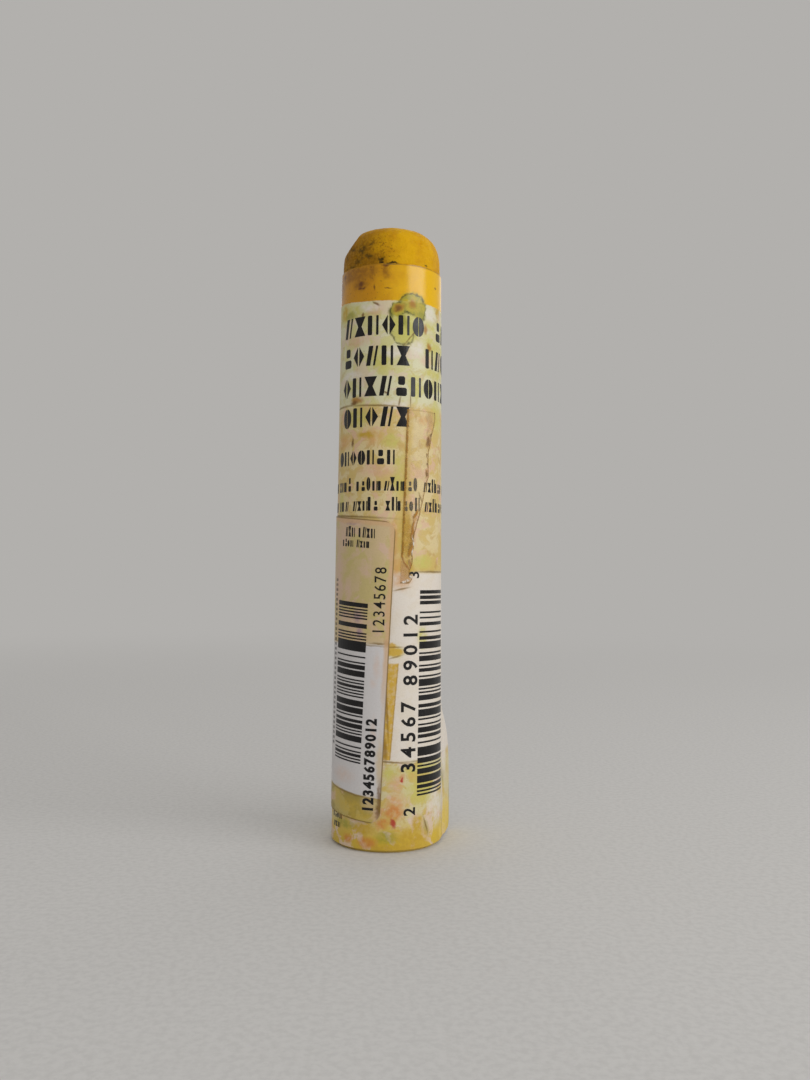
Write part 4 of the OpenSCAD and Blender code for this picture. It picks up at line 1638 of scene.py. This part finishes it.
# Camera: place and axes in millimetres of the frame
CAMERA_PLACE = (2.05, -124.26, 34.48)
CAMERA_RIGHT = (0.99996, -0.00027, 0.00906)
CAMERA_UP = (-0.00906, -0.03003, 0.99951)
CAMERA_FORWARD = (0.0, 0.99955, 0.03003)
CAMERA_LENS = 31.99
CAMERA_SENSOR = 36.0
CAMERA_CLIP = 0.002
# Lamps: name, degrees round from the front, degrees up, distance, width, height, power, whether gloss shows
# them
LAMPS = [
    ("window", 60, 19, 0.50, 0.36, 0.20, 0.95, True),
    ("fill", 12, 28, 0.80, 0.60, 0.60, 1.1, False),
    ("bounce", -80, 25, 0.70, 0.60, 0.60, 0.05, False),
    ("behind", 170, 35, 0.80, 0.80, 0.60, 0.8, True),
]
AMBIENT = 0.42
AMBIENT_TINT = (1.0, 0.99, 0.975)
# Floor: its inner rings in metres, its columns, how far it lies below the base and its second tone
FLOOR_RINGS = (0.05, 0.15, 0.4)
FLOOR_COLUMNS = 96
FLOOR_DROP = 0.02
FLOOR_WEAVE = tone(208, 206, 203)


def make_floor(stage):
    """A wide pale floor that fades into the backdrop, so that no edge of it shows."""
    mesh = bmesh.new()
    middle = mesh.verts.new((0, 0, 0))
    before = None
    for radius in (*FLOOR_RINGS, stage.floor_radius * MM):
        ring = []
        for k in range(FLOOR_COLUMNS):
            turned = 2 * math.pi * k / FLOOR_COLUMNS
            ring.append(mesh.verts.new((radius * math.cos(turned), radius * math.sin(turned), 0)))
        for k in range(FLOOR_COLUMNS):
            after = (k + 1) % FLOOR_COLUMNS
            if before is None:
                mesh.faces.new((middle, ring[k], ring[after]))
            else:
                mesh.faces.new((before[k], ring[k], ring[after], before[after]))
        before = ring
    data = bpy.data.meshes.new("floor")
    mesh.to_mesh(data)
    mesh.free()
    data.materials.append(floor_finish(stage))
    floor = bpy.data.objects.new("floor", data)
    floor.location.z = -FLOOR_DROP * MM
    bpy.context.scene.collection.objects.link(floor)


def seen_directly(tree):
    """1 for what the camera sees straight, in a reflection or through something clear."""
    path = node(tree, "ShaderNodeLightPath")
    seen = larger(tree, path.outputs["Is Camera Ray"], path.outputs["Is Glossy Ray"])
    return larger(tree, seen, path.outputs["Is Transmission Ray"])


def floor_finish(stage):
    """Matte and pale near the object, fading into the backdrop far away."""
    material, tree, shader = new_finish("floor")
    place = node(tree, "ShaderNodeNewGeometry").outputs["Position"]
    away = vector_calc(tree, "LENGTH", place)
    faded = between(tree, away, stage.fade_from * MM, stage.fade_to * MM)
    faded = times(tree, faded, seen_directly(tree))
    weave = mottle(tree, vector_calc(tree, "SCALE", place, scale=1 / MM), 1.5, 3.0)
    look = cover(tree, stage.floor, FLOOR_WEAVE, between(tree, weave, 0.35, 0.7))
    feed(tree, shader.inputs["Base Color"], look)
    shader.inputs["Roughness"].default_value = 0.9
    shader.inputs["Specular IOR Level"].default_value = 0.1
    glow = node(tree, "ShaderNodeEmission")
    feed(tree, glow.inputs["Color"], stage.backdrop)
    mixed = node(tree, "ShaderNodeMixShader")
    feed(tree, mixed.inputs[0], faded)
    tree.links.new(shader.outputs[0], mixed.inputs[1])
    tree.links.new(glow.outputs[0], mixed.inputs[2])
    tree.links.new(mixed.outputs[0], tree.nodes["Material Output"].inputs["Surface"])
    return material


def make_world(stage):
    """Even light from all round, with the pale backdrop where the camera looks past the floor."""
    world = bpy.data.worlds.new("studio")
    bpy.context.scene.world = world
    world.use_nodes = True
    tree = world.node_tree
    ambient = tree.nodes["Background"]
    feed(tree, ambient.inputs["Color"], AMBIENT_TINT)
    ambient.inputs["Strength"].default_value = AMBIENT
    backdrop = node(tree, "ShaderNodeBackground")
    feed(tree, backdrop.inputs["Color"], stage.backdrop)
    mixed = node(tree, "ShaderNodeMixShader")
    feed(tree, mixed.inputs[0], seen_directly(tree))
    tree.links.new(ambient.outputs[0], mixed.inputs[1])
    tree.links.new(backdrop.outputs[0], mixed.inputs[2])
    tree.links.new(mixed.outputs[0], tree.nodes["World Output"].inputs["Surface"])


def make_lamps(centre):
    """Broad soft lamps, brightest from the right."""
    for name, degrees, rise, distance, wide, tall, power, in_gloss in LAMPS:
        data = bpy.data.lights.new(name, "AREA")
        data.shape = "RECTANGLE"
        data.size = wide
        data.size_y = tall
        data.energy = power
        lamp = bpy.data.objects.new(name, data)
        turned, lifted = math.radians(degrees), math.radians(rise)
        level = math.cos(lifted)
        way = Vector((math.sin(turned) * level, -math.cos(turned) * level, math.sin(lifted)))
        lamp.location = centre + way * distance
        lamp.rotation_euler = way.to_track_quat("Z", "Y").to_euler()
        lamp.visible_glossy = in_gloss
        bpy.context.scene.collection.objects.link(lamp)


def make_camera():
    """The camera, nearly level and close to the object."""
    data = bpy.data.cameras.new("camera")
    data.lens = CAMERA_LENS
    data.sensor_width = CAMERA_SENSOR
    data.clip_start = CAMERA_CLIP
    camera = bpy.data.objects.new("camera", data)
    axes = Matrix([CAMERA_RIGHT, CAMERA_UP, -Vector(CAMERA_FORWARD)]).transposed()
    camera.matrix_world = Matrix.Translation(Vector(CAMERA_PLACE) * MM) @ axes.to_4x4()
    bpy.context.scene.collection.objects.link(camera)
    bpy.context.scene.camera = camera


# ---- Operators ----


def current_form(context):
    """The form that the panel's settings describe."""
    return Form(context.scene.watercolour_stick)


class STICK_OT_pigment(bpy.types.Operator):
    """Makes the moulded pigment stick with its worn tip"""

    bl_idname = "stick.pigment"
    bl_label = "Pigment stick"

    def execute(self, context):
        make_pigment_stick(current_form(context))
        return {"FINISHED"}


class STICK_OT_wrap(bpy.types.Operator):
    """Makes the rolled paper wrap with its lap and lifting corner"""

    bl_idname = "stick.wrap"
    bl_label = "Paper wrap"

    def execute(self, context):
        make_paper_wrap(current_form(context))
        return {"FINISHED"}


class STICK_OT_sticker(bpy.types.Operator):
    """Makes the shop sticker"""

    bl_idname = "stick.sticker"
    bl_label = "Shop sticker"

    def execute(self, context):
        make_shop_sticker(current_form(context))
        return {"FINISHED"}


class STICK_OT_tape(bpy.types.Operator):
    """Makes the torn strip of clear tape"""

    bl_idname = "stick.tape"
    bl_label = "Torn tape"

    def execute(self, context):
        make_torn_tape(current_form(context))
        return {"FINISHED"}


class STICK_OT_print(bpy.types.Operator):
    """Lays the ink of the title, small print, stripes and figures"""

    bl_idname = "stick.print"
    bl_label = "Print"

    def execute(self, context):
        form = current_form(context)
        make_title_print(form)
        make_small_print(form)
        make_wrap_code(form)
        make_sticker_print(form)
        return {"FINISHED"}


class STICK_OT_stage(bpy.types.Operator):
    """Makes the floor, backdrop, lamps and camera"""

    bl_idname = "stick.stage"
    bl_label = "Stage"

    def execute(self, context):
        stage = plain(context.scene.watercolour_stick.stage)
        context.scene.view_settings.view_transform = "Standard"
        make_floor(stage)
        make_world(stage)
        make_lamps((STICK_LOW + STICK_HIGH) / 2)
        make_camera()
        return {"FINISHED"}


class STICK_PT_panel(bpy.types.Panel):
    """Lists the pieces and their settings"""

    bl_idname = "STICK_PT_panel"
    bl_label = "Watercolour stick"
    bl_space_type = "VIEW_3D"
    bl_region_type = "UI"
    bl_category = "Stick"

    def draw(self, context):
        settings = context.scene.watercolour_stick
        for operator in OPERATORS:
            self.layout.operator(operator.bl_idname)
        for name in ("stick", "wrap", "sticker", "tape", "print", "stage"):
            box = self.layout.box()
            box.label(text=name.capitalize())
            group = getattr(settings, name)
            for prop in group.bl_rna.properties:
                if prop.identifier not in ("rna_type", "name"):
                    box.prop(group, prop.identifier)


GROUPS = [
    StickSettings, WrapSettings, StickerSettings, TapeSettings, PrintSettings, StageSettings,
    StickPanelSettings,
]
OPERATORS = [STICK_OT_pigment, STICK_OT_wrap, STICK_OT_sticker, STICK_OT_tape, STICK_OT_print, STICK_OT_stage]


def register():
    for made in [*GROUPS, *OPERATORS, STICK_PT_panel]:
        bpy.utils.register_class(made)
    bpy.types.Scene.watercolour_stick = PointerProperty(type=StickPanelSettings)


def unregister():
    del bpy.types.Scene.watercolour_stick
    for made in reversed([*GROUPS, *OPERATORS, STICK_PT_panel]):
        bpy.utils.unregister_class(made)


def main():
    """Builds every piece in order."""
    register()
    for operator in OPERATORS:
        group, name = operator.bl_idname.split(".")
        getattr(getattr(bpy.ops, group), name)()
    bpy.context.view_layer.update()


if __name__ == "__main__":
    main()
